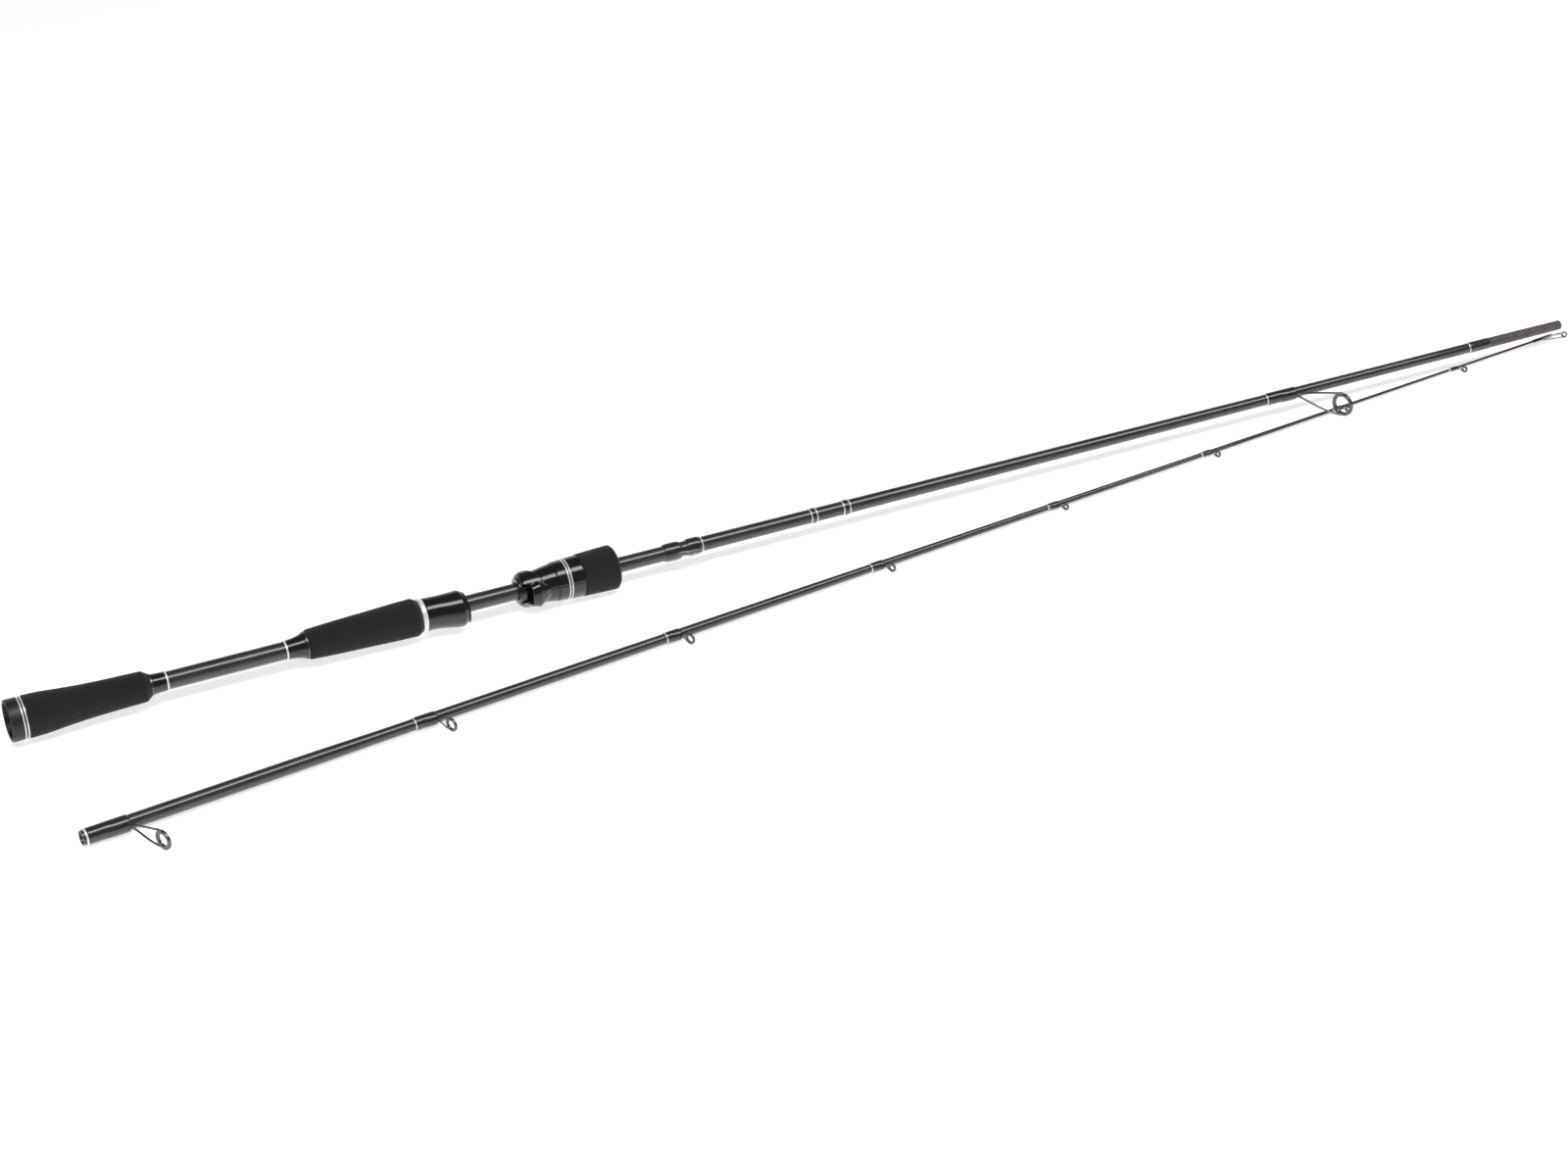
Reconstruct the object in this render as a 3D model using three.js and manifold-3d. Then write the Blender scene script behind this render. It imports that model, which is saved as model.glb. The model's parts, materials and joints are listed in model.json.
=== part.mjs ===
// Two-piece spinning rod, its butt section and its tip section laid side by side on a table.
// Millimetres, +Z up. +X runs along the butt section from the butt cap to the ferrule, and the guides of
// both sections lie towards -Y. The origin is the centre of the base of the whole object's box.
import * as THREE from "three";
import { mergeVertices } from "three/addons/utils/BufferGeometryUtils.js";
import Module from "manifold-3d";

const wasm = await Module();
wasm.setup();

// Driving dimensions ---------------------------------------------------------------------------------
const BUTT_LENGTH = 1140; // butt cap rim to the end of the male ferrule
const TIP_BLANK_LENGTH = 1137; // socket mouth to the end of the tip blank
const SECTION_ANGLE = 6.4; // degrees between the two sections as they lie
const SOCKET_X = 10; // where the tip section's socket mouth lies beside the butt cap
const SOCKET_Y = -119.5;
const BUTT_AXIS_Z = 14.3; // the foregrip's radius, on which the butt section lies
const SOCKET_AXIS_Z = 5.35; // the socket wrap rests on the table
const TIP_AXIS_Z = 2.2; // the tip-top ring rests on the table
const TIP_ROLL = 3; // degrees by which the tip section's guides lift off the table

const BLANK_WALL = 1.1;
const FIT = 0.3; // gap between a piece and the tube or bore that it is bonded to
const FINE_FIT = 0.12; // gap between a guide ring and its ceramic insert
const FOOT_FIT = 0.2; // gap between a guide's foot and the blank under it
const FOOT_COVER = 0.2; // least thickness of a wrap over a guide's foot

const COLLAR_SLANT = 0.53; // slope of the front hood's collar, whose front edge runs diagonally
const HOOD_SAG = 2.6; // how far the rear hood's mouth lies off the blank's axis, towards the guides
const REAR_STOP = 275; // where the reel foot's rear end stops inside the rear hood
const POCKET_END = 336; // where the reel foot's front end stops inside the front hood
const LOCK_NUT_X = 346.5;
const FOREGRIP_X = 364.5;
const FOREGRIP_END = 389;
const THREAD_R = 7.6; // crest radius of the threaded barrel
const BARREL_X = 351;

const ROUND = 24; // facets round the handle's pieces
const SLIM = 14; // facets round the blanks and thread wraps
const RING = 16; // facets round a guide ring
const WIRE = 5; // facets round a frame wire
const LEG_STEPS = 7; // straight lengths that a guide's leg is made of

// Outer radius of each blank at stations along it: [distance from the section's end, radius].
const BUTT_TAPER = [[7.5, 5.65], [171, 5.65], [300, 5.4], [398, 5.0], [653, 4.4], [807, 4.05], [1006, 3.6],
  [1076, 3.6], [BUTT_LENGTH, 3.35]];
const TIP_TAPER = [[0, 4.5], [130, 4.3], [195, 3.7], [325, 3.45], [467, 3.0], [622, 2.3], [787, 1.7],
  [963, 1.1], [TIP_BLANK_LENGTH, 0.8]];
const SOCKET_BORE_R = 3.65; // slips over the male ferrule
const SOCKET_DEPTH = 72;

// Guides: at = ring centre along the section, out = ring centre from the blank's axis, ring = outer
// radius of the frame ring, wrap = length of the thread wrap, run = from the wrap's end to the ring.
const STRIPPING_GUIDE = { at: 928.5, out: 29.5, ring: 8.4, wrap: 24, run: 20, wire: 0.75, spread: 84 };
const TIP_GUIDES = [
  { at: 37.5, out: 28, ring: 6.2, wrap: 25, run: 9.5, wire: 0.65, spread: 62 },
  { at: 226.3, out: 13, ring: 4.4, wrap: 14, run: 4, wire: 0.5, spread: 58 },
  { at: 393.9, out: 9.2, ring: 3.65, wrap: 10, run: 2.4, wire: 0.42, spread: 58 },
  { at: 546.5, out: 7.3, ring: 3.05, wrap: 9.5, run: 2.2, wire: 0.38, spread: 58 },
  { at: 687.3, out: 6, ring: 2.5, wrap: 8.5, run: 2, wire: 0.34, spread: 58 },
  { at: 818, out: 5.5, ring: 2.4, wrap: 8, run: 2, wire: 0.32, spread: 58 },
  { at: 936.5, out: 5.3, ring: 2.4, wrap: 8, run: 2, wire: 0.32, spread: 58 },
  { at: 1047, out: 5.2, ring: 2.4, wrap: 8, run: 2, wire: 0.32, spread: 58 },
];
const RING_LEAN = 17; // degrees by which a guide ring leans towards the tip
const TIP_TOP = { at: 1147, out: 4.5, ring: 2.35, wire: 0.36, lean: 30, tube: 10, wrap: 9 };

// Materials ------------------------------------------------------------------------------------------
const FINISH = {
  carbon: { color: 0x2b2827, roughness: 0.25, metalness: 0.1 },
  eva: { color: 0x201e22, roughness: 0.95, metalness: 0 },
  seat: { color: 0x28282a, roughness: 0.2, metalness: 0 },
  cap: { color: 0x2c2c2f, roughness: 0.4, metalness: 0 },
  chrome: { color: 0xe4e2e0, roughness: 0.12, metalness: 1 },
  epoxy: { color: 0x1c1b1d, roughness: 0.1, metalness: 0 },
  titanium: { color: 0x6e645f, roughness: 0.3, metalness: 1 },
  ceramic: { color: 0x3a3836, roughness: 0.15, metalness: 0.2 },
  liner: { color: 0x18181a, roughness: 0.6, metalness: 0 },
};

function mesh(name, geometry, finish) {
  const made = new THREE.Mesh(geometry, new THREE.MeshStandardMaterial(FINISH[finish]));
  made.name = name;
  return made;
}

// Shape helpers --------------------------------------------------------------------------------------

/** Solid of revolution about the X axis. Its half outline is a closed list of [x, radius] points. */
function turned(outline, facets) {
  const area = outline.reduce((sum, [x, r], i) => {
    const [nextX, nextR] = outline[(i + 1) % outline.length];
    return sum + x * nextR - nextX * r;
  }, 0);
  const ordered = area > 0 ? [...outline].reverse() : [...outline];
  const touchesAxis = ordered.some(([, r]) => r === 0);
  while (touchesAxis && !(ordered[0][1] === 0 && ordered[ordered.length - 1][1] === 0)) {
    ordered.push(ordered.shift());
  }
  if (!touchesAxis) ordered.push(ordered[0]);
  const points = ordered.map(([x, r]) => new THREE.Vector2(r, x));
  return new THREE.LatheGeometry(points, facets).rotateZ(-Math.PI / 2);
}

/** Value at x on the straight lines between [x, value] stations. */
function between(stations, x) {
  const i = Math.max(1, stations.findIndex(([at]) => at >= x));
  const [x0, v0] = stations[i - 1];
  const [x1, v1] = stations[i];
  return v0 + ((v1 - v0) * (x - x0)) / (x1 - x0);
}

/** Points of a rounded corner: a quarter ellipse from [x0, r0] to [x1, r1]. */
function rounded([x0, r0], [x1, r1], steps, risesFirst) {
  return Array.from({ length: steps + 1 }, (_, i) => {
    const a = ((Math.PI / 2) * i) / steps;
    const along = risesFirst ? 1 - Math.cos(a) : Math.sin(a);
    const across = risesFirst ? Math.sin(a) : 1 - Math.cos(a);
    return [x0 + (x1 - x0) * along, r0 + (r1 - r0) * across];
  });
}

/** Round wire of the given radius along a path. */
function wireAlong(path, radius, steps, facets = WIRE) {
  const circle = new THREE.Shape();
  for (let i = 0; i < facets; i += 1) {
    const a = (2 * Math.PI * i) / facets;
    const method = i === 0 ? "moveTo" : "lineTo";
    circle[method](radius * Math.cos(a), radius * Math.sin(a));
  }
  return new THREE.ExtrudeGeometry(circle, { steps, bevelEnabled: false, extrudePath: path });
}

/** Round wire of the given radius along a smooth curve through the points. */
function wire(points, radius, steps) {
  return wireAlong(new THREE.CatmullRomCurve3(points, false, "centripetal"), radius, steps);
}

/** The geometry as a solid that can be joined and cut. */
function solid(geometry) {
  const bare = geometry.clone();
  bare.deleteAttribute("normal");
  bare.deleteAttribute("uv");
  const merged = mergeVertices(bare, 1e-3);
  return new wasm.Manifold(new wasm.Mesh({
    numProp: 3,
    vertProperties: merged.attributes.position.array,
    triVerts: new Uint32Array(merged.index.array),
  }));
}

/** A joined or cut solid as a geometry again. */
function geometryOf(body) {
  const { vertProperties, triVerts } = body.getMesh();
  const made = new THREE.BufferGeometry();
  made.setAttribute("position", new THREE.BufferAttribute(new Float32Array(vertProperties), 3));
  made.setIndex(new THREE.BufferAttribute(new Uint32Array(triVerts), 1));
  return made;
}

/** Sleeve or ring with a straight bore: outer outline points from the rear to the front, and its bore. */
function sleeve(outer, bore, facets = ROUND) {
  const first = outer[0][0];
  const last = outer[outer.length - 1][0];
  return turned([[first, bore], ...outer, [last, bore]], facets);
}

function band(x0, x1, radius, bore, facets = ROUND) {
  return sleeve([[x0, radius], [x1, radius]], bore, facets);
}

// Thread wraps ---------------------------------------------------------------------------------------

/** Epoxy-coated thread wrap: a low hump on the blank, which at its front falls to a share of its build. */
function wrapOutline(taper, start, end, build, frontRun, frontShare = 0.35) {
  const radius = (x) => between(taper, x);
  return [
    [start, radius(start) + 0.65 * build],
    [start + 1, radius(start + 1) + build],
    [end - frontRun, radius(end - frontRun) + build],
    [end - frontRun / 2, radius(end - frontRun / 2) + (0.7 + 0.3 * frontShare) * build],
    [end, radius(end) + frontShare * build],
  ];
}

function threadWrap(taper, start, end, build, frontRun) {
  const bore = between(taper, start) + 0.05;
  const boreEnd = between(taper, end) + 0.05;
  const outer = wrapOutline(taper, start, end, build, frontRun);
  return turned([[start, bore], ...outer, [end, boreEnd]], SLIM);
}

// Guides ---------------------------------------------------------------------------------------------

const guideWall = ({ ring }) => 0.4 + 0.05 * ring; // radial thickness of the frame ring
const guideWidth = ({ ring }) => 0.8 + 0.14 * ring; // width of the frame ring along its axis

/** Place a ring made round the X axis at a guide's ring centre, leaning towards the tip. */
function atRing(geometry, guide, lean) {
  return geometry
    .rotateZ(THREE.MathUtils.degToRad(lean))
    .translate(guide.at, -guide.out, 0);
}

/** Where a guide's flat foot lies: its inner face, its thickness and its length under the wrap. */
function footOf(taper, guide) {
  const wrapEnd = guide.at - guide.run;
  const length = 0.5 * guide.wrap;
  return {
    wrapEnd,
    length,
    inner: between(taper, wrapEnd - length) + FOOT_FIT,
    thickness: 0.7 * guide.wire,
    width: 2.8 * guide.wire,
  };
}

/** Box along a guide's foot, grown by a margin on all sides. */
function footBox(taper, guide, margin, pastWrap) {
  const { wrapEnd, length, inner, thickness, width } = footOf(taper, guide);
  return new THREE.BoxGeometry(length + pastWrap + margin, thickness + 2 * margin, width + 2 * margin)
    .translate(wrapEnd + (pastWrap - length - margin) / 2, -(inner + thickness / 2), 0);
}

/** The two legs' centre lines, from the front of the foot to the ring's sides. */
function legPaths(taper, guide, lean) {
  const { at, out, ring, run, wire: wireR, spread } = guide;
  const { wrapEnd, inner } = footOf(taper, guide);
  const a = THREE.MathUtils.degToRad(lean);
  const s = THREE.MathUtils.degToRad(spread);
  const attachR = ring - guideWall(guide) + 1.05 * wireR;
  const inward = attachR * Math.cos(s);
  return [-1, 1].map((side) => {
    const root = new THREE.Vector3(wrapEnd + 0.35, -(inner + wireR), side * 0.75 * wireR);
    const joint = new THREE.Vector3(
      at - inward * Math.sin(a), -(out - inward * Math.cos(a)), side * attachR * Math.sin(s));
    const rise = joint.clone().sub(root);
    const leaving = root.clone().add(new THREE.Vector3(0.2 * run + 0.5, 0.12 * rise.y, 0.25 * rise.z));
    const sweep = root.clone().add(rise.multiply(new THREE.Vector3(0.5, 0.66, 0.88)));
    return new THREE.CubicBezierCurve3(root, leaving, sweep, joint);
  });
}

/** Wire frame: a flat ring on two legs whose feet meet on the blank. */
function guideFrame(taper, guide, lean) {
  const half = guideWidth(guide) / 2;
  const ringBody = band(-half, half, guide.ring, guide.ring - guideWall(guide), RING);
  const legs = legPaths(taper, guide, lean)
    .map((path) => solid(wireAlong(path, guide.wire, LEG_STEPS)));
  const rim = solid(atRing(ringBody, guide, lean));
  const foot = solid(footBox(taper, guide, 0, 1.2 + guide.wire));
  return geometryOf(rim.add(legs[0]).add(legs[1]).add(foot));
}

/** Ceramic insert: a ring with a rounded bore, held inside the frame ring. */
function guideInsert(guide, lean) {
  const outer = guide.ring - guideWall(guide) - FINE_FIT;
  const depth = 0.5 + 0.14 * guide.ring;
  const half = guideWidth(guide) / 2 + 0.1;
  const outline = [[-half, outer], [half, outer], [half, outer - 0.55 * depth],
    [0.4 * half, outer - depth], [-0.4 * half, outer - depth], [-half, outer - 0.55 * depth]];
  return atRing(turned(outline, RING), guide, lean);
}

/** The wrap over a guide's foot: thicker on the foot's side, with a channel that the foot lies in. */
function guideWrap(taper, guide, start, end) {
  const { thickness } = footOf(taper, guide);
  const back = 0.3 + 0.3 * guide.wire;
  const front = 2 * FOOT_FIT + thickness + FOOT_COVER;
  const shift = (front - back) / 2;
  const hump = wrapOutline(taper, start, end, back + shift, 2, 0.9);
  const outer = turned([[start, 0], ...hump, [end, 0]], SLIM).translate(0, -shift, 0);
  const boreR = between(taper, start) + 0.05;
  const bore = turned([[start - 1, 0], [start - 1, boreR], [end + 1, boreR], [end + 1, 0]], SLIM);
  const channel = footBox(taper, guide, 0.12, 2);
  return geometryOf(solid(outer).subtract(solid(bore)).subtract(solid(channel)));
}

// Handle ---------------------------------------------------------------------------------------------

/** Hollow blank of the butt section, open at the end of its male ferrule. */
function buttBlank() {
  const bore = BUTT_TAPER.map(([x, r]) => [x, r - BLANK_WALL]).reverse();
  return turned([...BUTT_TAPER, ...bore], SLIM);
}

const CAP_NECK_R = 12.4; // the two bright rings sit on the butt cap's neck

/** Cup-shaped end cap with a neck for its rings and a plug that fills the end of the blank's bore. */
function buttCap() {
  const rim = 12.9;
  const recess = 10.9;
  const depth = 5.5;
  const plugR = BUTT_TAPER[0][1] - BLANK_WALL - FIT;
  return turned([
    [depth, 0], [depth, recess], [0.4, recess + 0.2], [0, recess + 0.5], [0, rim - 0.4], [0.5, rim],
    [6.9, rim], [6.9, CAP_NECK_R], [10.5, CAP_NECK_R], [10.5, 5.65 + FIT], [7.2, 5.65 + FIT],
    [7.2, plugR], [16, plugR], [17, 0],
  ], ROUND);
}

function buttGripOutline() {
  const waist = [[10.8, 13.1], [20, 12.8], [32, 11.75], [45, 10.75], [58, 10.15], [70, 9.8], [81.8, 9.5]];
  return [...waist, ...rounded([81.8, 9.5], [85.3, 7.0], 3, false).slice(1)];
}

function rearGripOutline() {
  return [[183.9, 8.6], ...rounded([183.9, 8.6], [185.5, 9.5], 2, true).slice(1), [200, 10.2],
    [225, 11.1], [247, 11.9], ...rounded([252.8, 12.0], [256.3, 9.9], 3, false)];
}

/** Thick bright ring between the rear grip and the reel seat, its edges chamfered. */
function seatRing() {
  return sleeve([[256.6, 10.6], [257.2, 11.0], [259.2, 11.0], [259.8, 10.6]], 5.4 + FIT);
}

/** Fixed rear hood of the reel seat: a barrel that swells towards the guide side, where its open mouth
 *  takes the reel foot's end. */
function rearHood() {
  const outer = [[260.1, 9.6], [261.2, 10.4], [264, 10.4], [269, 10.5], [275, 11.0], [280, 11.5],
    [282.5, 11.6], [284.8, 11.2], [286.2, 10.4], [286.6, 9.8]];
  const bore = solid(turned([[286.6 + 1, 0], [286.6 + 1, 7.6], [262.6, 7.6], [262.6, 0]], ROUND));
  const blank = solid(turned([[255, 0], [255, 5.4 + FIT], [290, 5.4 + FIT], [290, 0]], ROUND));
  const barrel = solid(turned([[260.1, 0], ...outer, [286.6, 0]], ROUND)).warp((point) => {
    const along = THREE.MathUtils.smoothstep(point[0], 262, 283);
    point[1] -= HOOD_SAG * along;
  });
  const pocket = footPocket(REAR_STOP, 288.5, 10.6, 40);
  return geometryOf(barrel.subtract(blank).subtract(bore).subtract(pocket));
}

/** Curved slot on the guide side, in which one end of a reel foot lies along the blank. */
function footPocket(x0, x1, radius, halfDegrees) {
  const halfWidth = THREE.MathUtils.degToRad(halfDegrees);
  const floorR = 4;
  const slot = new THREE.Shape();
  slot.absarc(0, 0, radius, -halfWidth, halfWidth, false);
  slot.absarc(0, 0, floorR, halfWidth, -halfWidth, true);
  slot.closePath();
  const length = x1 - x0;
  const made = new THREE.ExtrudeGeometry(slot, { depth: length, bevelEnabled: false, curveSegments: 6 });
  // The slot is drawn about +X of its own plane. It is stood on the rod's axis and turned to -Y.
  made.rotateY(Math.PI / 2).rotateX(-Math.PI / 2).translate(x0, 0, 0);
  return solid(made);
}

/** Sliding front hood: a body that widens to the lock nut, a slanted lip and a wedge-shaped boss over the
 *  pocket for the reel foot. The mouth is notched on the guide side to let the foot in. */
function frontHood() {
  const end = LOCK_NUT_X - 0.3;
  const body = solid(turned([
    [324, 7], [324, 9.2], [325, 9.8], [331, 10.1], [336, 10.6], [341, 11.4], [end, 12.1], [end, 7],
  ], ROUND));
  const collar = solid(turned([
    [323.2, 8], [323.2, 9.9], [324.0, 10.9], [325.8, 11.5], [341, 11.6], [341, 8],
  ], ROUND)).trimByPlane([-1, -COLLAR_SLANT, 0], -332.8 / Math.hypot(1, COLLAR_SLANT));
  const boss = solid(turned([
    [-7.2, 0], [-7.2, 4.6], [-5.9, 5.8], [3.5, 8.85], [8.4, 6.0], [12, 3.0], [12.5, 0],
  ], ROUND).scale(1, 0.72, 1).translate(329.6, -8.9, 0));
  const bore = solid(turned([
    [300, 0], [300, 8.9], [335, 8.9], [335, 8.2], [end - 5.9, 8.2], [end - 5.9, 11.0], [end - 3.5, 11.0],
    [end - 3.5, 10.3], [end + 1, 10.3], [end + 1, 0],
  ], ROUND));
  const notch = footPocket(316, 328.2, 20, 42);
  const pocket = footPocket(316, POCKET_END, 12, 26);
  return geometryOf(body.add(collar).add(boss).subtract(bore).subtract(notch).subtract(pocket));
}

/** Soft liner in the front hood's mouth: a ring that the reel foot passes over, then split on the guide
 *  side for the foot's end. */
function hoodLiner() {
  const ring = solid(turned([
    [321.7, 6.2], [321.7, 8.0], [322.3, 8.6], [334.7, 8.6], [334.7, 5.4 + FIT], [322.3, 5.4 + FIT],
  ], ROUND));
  return geometryOf(ring.subtract(footPocket(325.6, 337, 10, 34)));
}

/** Lock nut: a flanged collar that turns inside the front hood and carries the foregrip. */
function lockNut() {
  const x = LOCK_NUT_X;
  return turned([
    [x - 5.8, THREAD_R + FIT], [x - 5.8, 10.7], [x - 4.2, 10.7], [x - 4.2, 10.0], [x, 10.0], [x, 12.3],
    [x + 0.5, 12.6], [x + 6.1, 12.9], [x + 6.1, 12.3], [x + 9.5, 12.3], [x + 9.5, 13.1],
    [x + 17.3, 13.45], [x + 17.7, 13.2], [x + 17.7, 10.5], [x + 40, 10.5], [x + 40, THREAD_R + FIT],
  ], ROUND);
}

function foregripOutline() {
  return [[FOREGRIP_X, 13.6], [374, 13.95], [383.5, 14.3],
    ...rounded([386, 14.3], [FOREGRIP_END, 11.4], 3, false)];
}

/** Hook keeper: a narrow wire loop that lies forward over the second keeper wrap. */
function hookKeeper() {
  const low = between(BUTT_TAPER, 430) + 0.6;
  const high = 6.9;
  const side = 1.2;
  const path = [[430, low, side], [434.5, low, side], [438, high, side], [444, high + 0.2, side],
    [447, high + 0.2, 0], [444, high + 0.2, -side], [438, high, -side], [434.5, low, -side],
    [430, low, -side]];
  return wire(path.map(([x, r, z]) => new THREE.Vector3(x, -r, z)), 0.4, 16);
}

/** Rear keeper wrap, with the two channels that the hook keeper's feet lie in. */
function keeperWrapRear() {
  const plain = threadWrap(BUTT_TAPER, 422.5, 435, 1.05, 4);
  const low = between(BUTT_TAPER, 430) + 0.6;
  const channels = [-1.2, 1.2].map((z) => solid(
    wire([429.6, 432, 436].map((x) => new THREE.Vector3(x, -low, z)), 0.6, 2)));
  return geometryOf(solid(plain).subtract(channels[0]).subtract(channels[1]));
}

function strippingWrap() {
  const end = STRIPPING_GUIDE.at - STRIPPING_GUIDE.run;
  return guideWrap(BUTT_TAPER, STRIPPING_GUIDE, end - STRIPPING_GUIDE.wrap, end);
}

const seatR = between(BUTT_TAPER, 320);

const buttSection = new THREE.Group();
buttSection.add(
  mesh("butt_blank", buttBlank(), "carbon"),
  mesh("butt_cap", buttCap(), "cap"),
  mesh("butt_ring_rear", band(7.2, 8.0, 13.1, CAP_NECK_R + FIT), "chrome"),
  mesh("butt_ring_front", band(9.0, 9.8, 13.2, CAP_NECK_R + FIT), "chrome"),
  mesh("butt_grip", sleeve(buttGripOutline(), 5.65 + FIT), "eva"),
  mesh("butt_winding_check", band(85.5, 86.5, 7.0, 5.65 + FIT), "titanium"),
  mesh("butt_cone", sleeve([[86.7, 6.5], [91, 6.2], [95, 5.98]], 5.7), "epoxy"),
  mesh("butt_cone_ring", band(95.2, 96.3, 6.1, 5.7), "chrome"),
  mesh("rear_cone_ring", band(169.9, 171, 6.1, 5.7), "chrome"),
  mesh("rear_cone", sleeve([[171.2, 6.0], [176, 6.5], [180, 7.4], [182.5, 8.4]], 5.7), "epoxy"),
  mesh("rear_winding_check", band(182.7, 183.6, 8.7, 5.65 + FIT), "titanium"),
  mesh("rear_grip", sleeve(rearGripOutline(), 5.65 + FIT), "eva"),
  mesh("seat_ring", seatRing(), "chrome"),
  mesh("rear_hood", rearHood(), "seat"),
  mesh("seat_arbor", band(262.9, REAR_STOP - 0.3, 7.3, 5.4 + FIT, SLIM), "liner"),
  mesh("threaded_barrel", band(BARREL_X, 387.5, THREAD_R, seatR + FIT, SLIM), "seat"),
  mesh("keeper_wrap_rear", keeperWrapRear(), "epoxy"),
  mesh("keeper_wrap_front", threadWrap(BUTT_TAPER, 439, 448.6, 0.95, 4), "epoxy"),
  mesh("hook_keeper", hookKeeper(), "titanium"),
  mesh("band_wrap_rear", threadWrap(BUTT_TAPER, 527.2, 532.2, 0.5, 1.5), "epoxy"),
  mesh("band_wrap_front", threadWrap(BUTT_TAPER, 550.9, 556.6, 0.5, 1.5), "epoxy"),
  mesh("stripping_guide_frame", guideFrame(BUTT_TAPER, STRIPPING_GUIDE, RING_LEAN), "titanium"),
  mesh("stripping_guide_insert", guideInsert(STRIPPING_GUIDE, RING_LEAN), "ceramic"),
  mesh("stripping_guide_wrap", strippingWrap(), "epoxy"),
  mesh("ferrule_wrap", threadWrap(BUTT_TAPER, 1058.5, 1076, 0.35, 2), "epoxy"),
);

// The front hood slides along the blank, and the lock nut turns with the foregrip and its rings.
buttSection.add(
  mesh("front_hood", frontHood(), "seat"),
  mesh("hood_liner", hoodLiner(), "liner"),
  mesh("lock_nut", lockNut(), "seat"),
  mesh("nut_ring_rear", band(353.0, 353.8, 13.2, 12.6), "chrome"),
  mesh("nut_ring_front", band(354.8, 355.6, 13.3, 12.6), "chrome"),
  mesh("foregrip", sleeve(foregripOutline(), 10.8), "eva"),
);
buttSection.position.z = BUTT_AXIS_Z;

// Tip section ----------------------------------------------------------------------------------------

/** Tip blank: a straight socket bore, then a bore that closes before the slim tip. */
function tipBlank() {
  const bore = [[800, 0], [195, 2.7], [SOCKET_DEPTH, 3.3], [SOCKET_DEPTH, SOCKET_BORE_R],
    [0, SOCKET_BORE_R]];
  return turned([...bore, ...TIP_TAPER, [TIP_BLANK_LENGTH, 0]], SLIM);
}

const tubeStart = TIP_BLANK_LENGTH - TIP_TOP.tube + 1; // rear end of the tip-top's tube

/** Tip-top: a tube over the blank's end, with a small ring on two brace wires. */
function tipTopFrame() {
  const { at, out, ring, wire: wireR, lean, tube } = TIP_TOP;
  const half = 0.55;
  const sleeveBody = solid(turned([
    [tubeStart, 0.96], [tubeStart, 1.3], [tubeStart + tube, 1.3], [tubeStart + tube + 0.6, 0],
    [TIP_BLANK_LENGTH + 0.2, 0], [TIP_BLANK_LENGTH + 0.2, 0.96],
  ], SLIM));
  const rim = solid(band(-half, half, ring, ring - 0.5, RING)
    .rotateZ(THREE.MathUtils.degToRad(lean)).translate(at, -out, 0));
  const braces = [-1, 1].map((side) => solid(wire([
    new THREE.Vector3(tubeStart + 1, -1.3, side * 0.7),
    new THREE.Vector3(tubeStart + 0.6 * tube, -1.9, side * 1.3),
    new THREE.Vector3(at - 0.3, -out, side * (ring - 0.25)),
  ], wireR, 6)));
  const spine = solid(wire([
    new THREE.Vector3(tubeStart + tube, -0.5, 0),
    new THREE.Vector3(at - 1.6, -(out - ring + 0.1), 0),
  ], wireR, 3));
  return geometryOf(sleeveBody.add(rim).add(braces[0]).add(braces[1]).add(spine));
}

function tipTopWrap() {
  return threadWrap(TIP_TAPER, tubeStart - TIP_TOP.wrap, tubeStart - 0.3, 0.45, 2);
}

function tipTopInsert() {
  const { at, out, ring, lean } = TIP_TOP;
  const outer = ring - 0.5 - FINE_FIT;
  const outline = [[-0.6, outer], [0.6, outer], [0.6, outer - 0.35], [0.2, outer - 0.6],
    [-0.2, outer - 0.6], [-0.6, outer - 0.35]];
  return turned(outline, RING).rotateZ(THREE.MathUtils.degToRad(lean)).translate(at, -out, 0);
}

const tipSection = new THREE.Group();
tipSection.add(
  mesh("tip_blank", tipBlank(), "carbon"),
  mesh("socket_ring", band(1.6, 2.8, 5.3, 4.6, SLIM), "chrome"),
);
TIP_GUIDES.forEach((guide, i) => {
  const number = i + 1;
  const end = guide.at - guide.run;
  const wrapName = i === 0 ? "socket_wrap" : `guide_${number}_wrap`;
  const start = i === 0 ? 3 : end - guide.wrap;
  tipSection.add(
    mesh(wrapName, guideWrap(TIP_TAPER, guide, start, end), "epoxy"),
    mesh(`guide_${number}_frame`, guideFrame(TIP_TAPER, guide, RING_LEAN), "titanium"),
    mesh(`guide_${number}_insert`, guideInsert(guide, RING_LEAN), "ceramic"),
  );
});
tipSection.add(
  mesh("tip_top_wrap", tipTopWrap(), "epoxy"),
  mesh("tip_top_frame", tipTopFrame(), "titanium"),
  mesh("tip_top_insert", tipTopInsert(), "ceramic"),
);

// The section is rolled about its own axis, dipped towards its tip, and turned on the table.
const dip = Math.asin((SOCKET_AXIS_Z - TIP_AXIS_Z) / TIP_BLANK_LENGTH);
tipSection.rotation.order = "ZYX";
tipSection.rotation.set(-THREE.MathUtils.degToRad(TIP_ROLL), dip, THREE.MathUtils.degToRad(SECTION_ANGLE));
tipSection.position.set(SOCKET_X, SOCKET_Y, SOCKET_AXIS_Z);

// The whole rod, moved so that the centre of its base is the origin.
const spinningRod = new THREE.Group();
spinningRod.add(buttSection, tipSection);
spinningRod.updateMatrixWorld(true);
const box = new THREE.Box3().setFromObject(spinningRod, true);
const centre = box.getCenter(new THREE.Vector3());
spinningRod.position.set(-centre.x, -centre.y, -box.min.z);

export default spinningRod;
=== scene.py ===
"""Finished surfaces of a spinning rod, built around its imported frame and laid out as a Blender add-on."""

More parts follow.
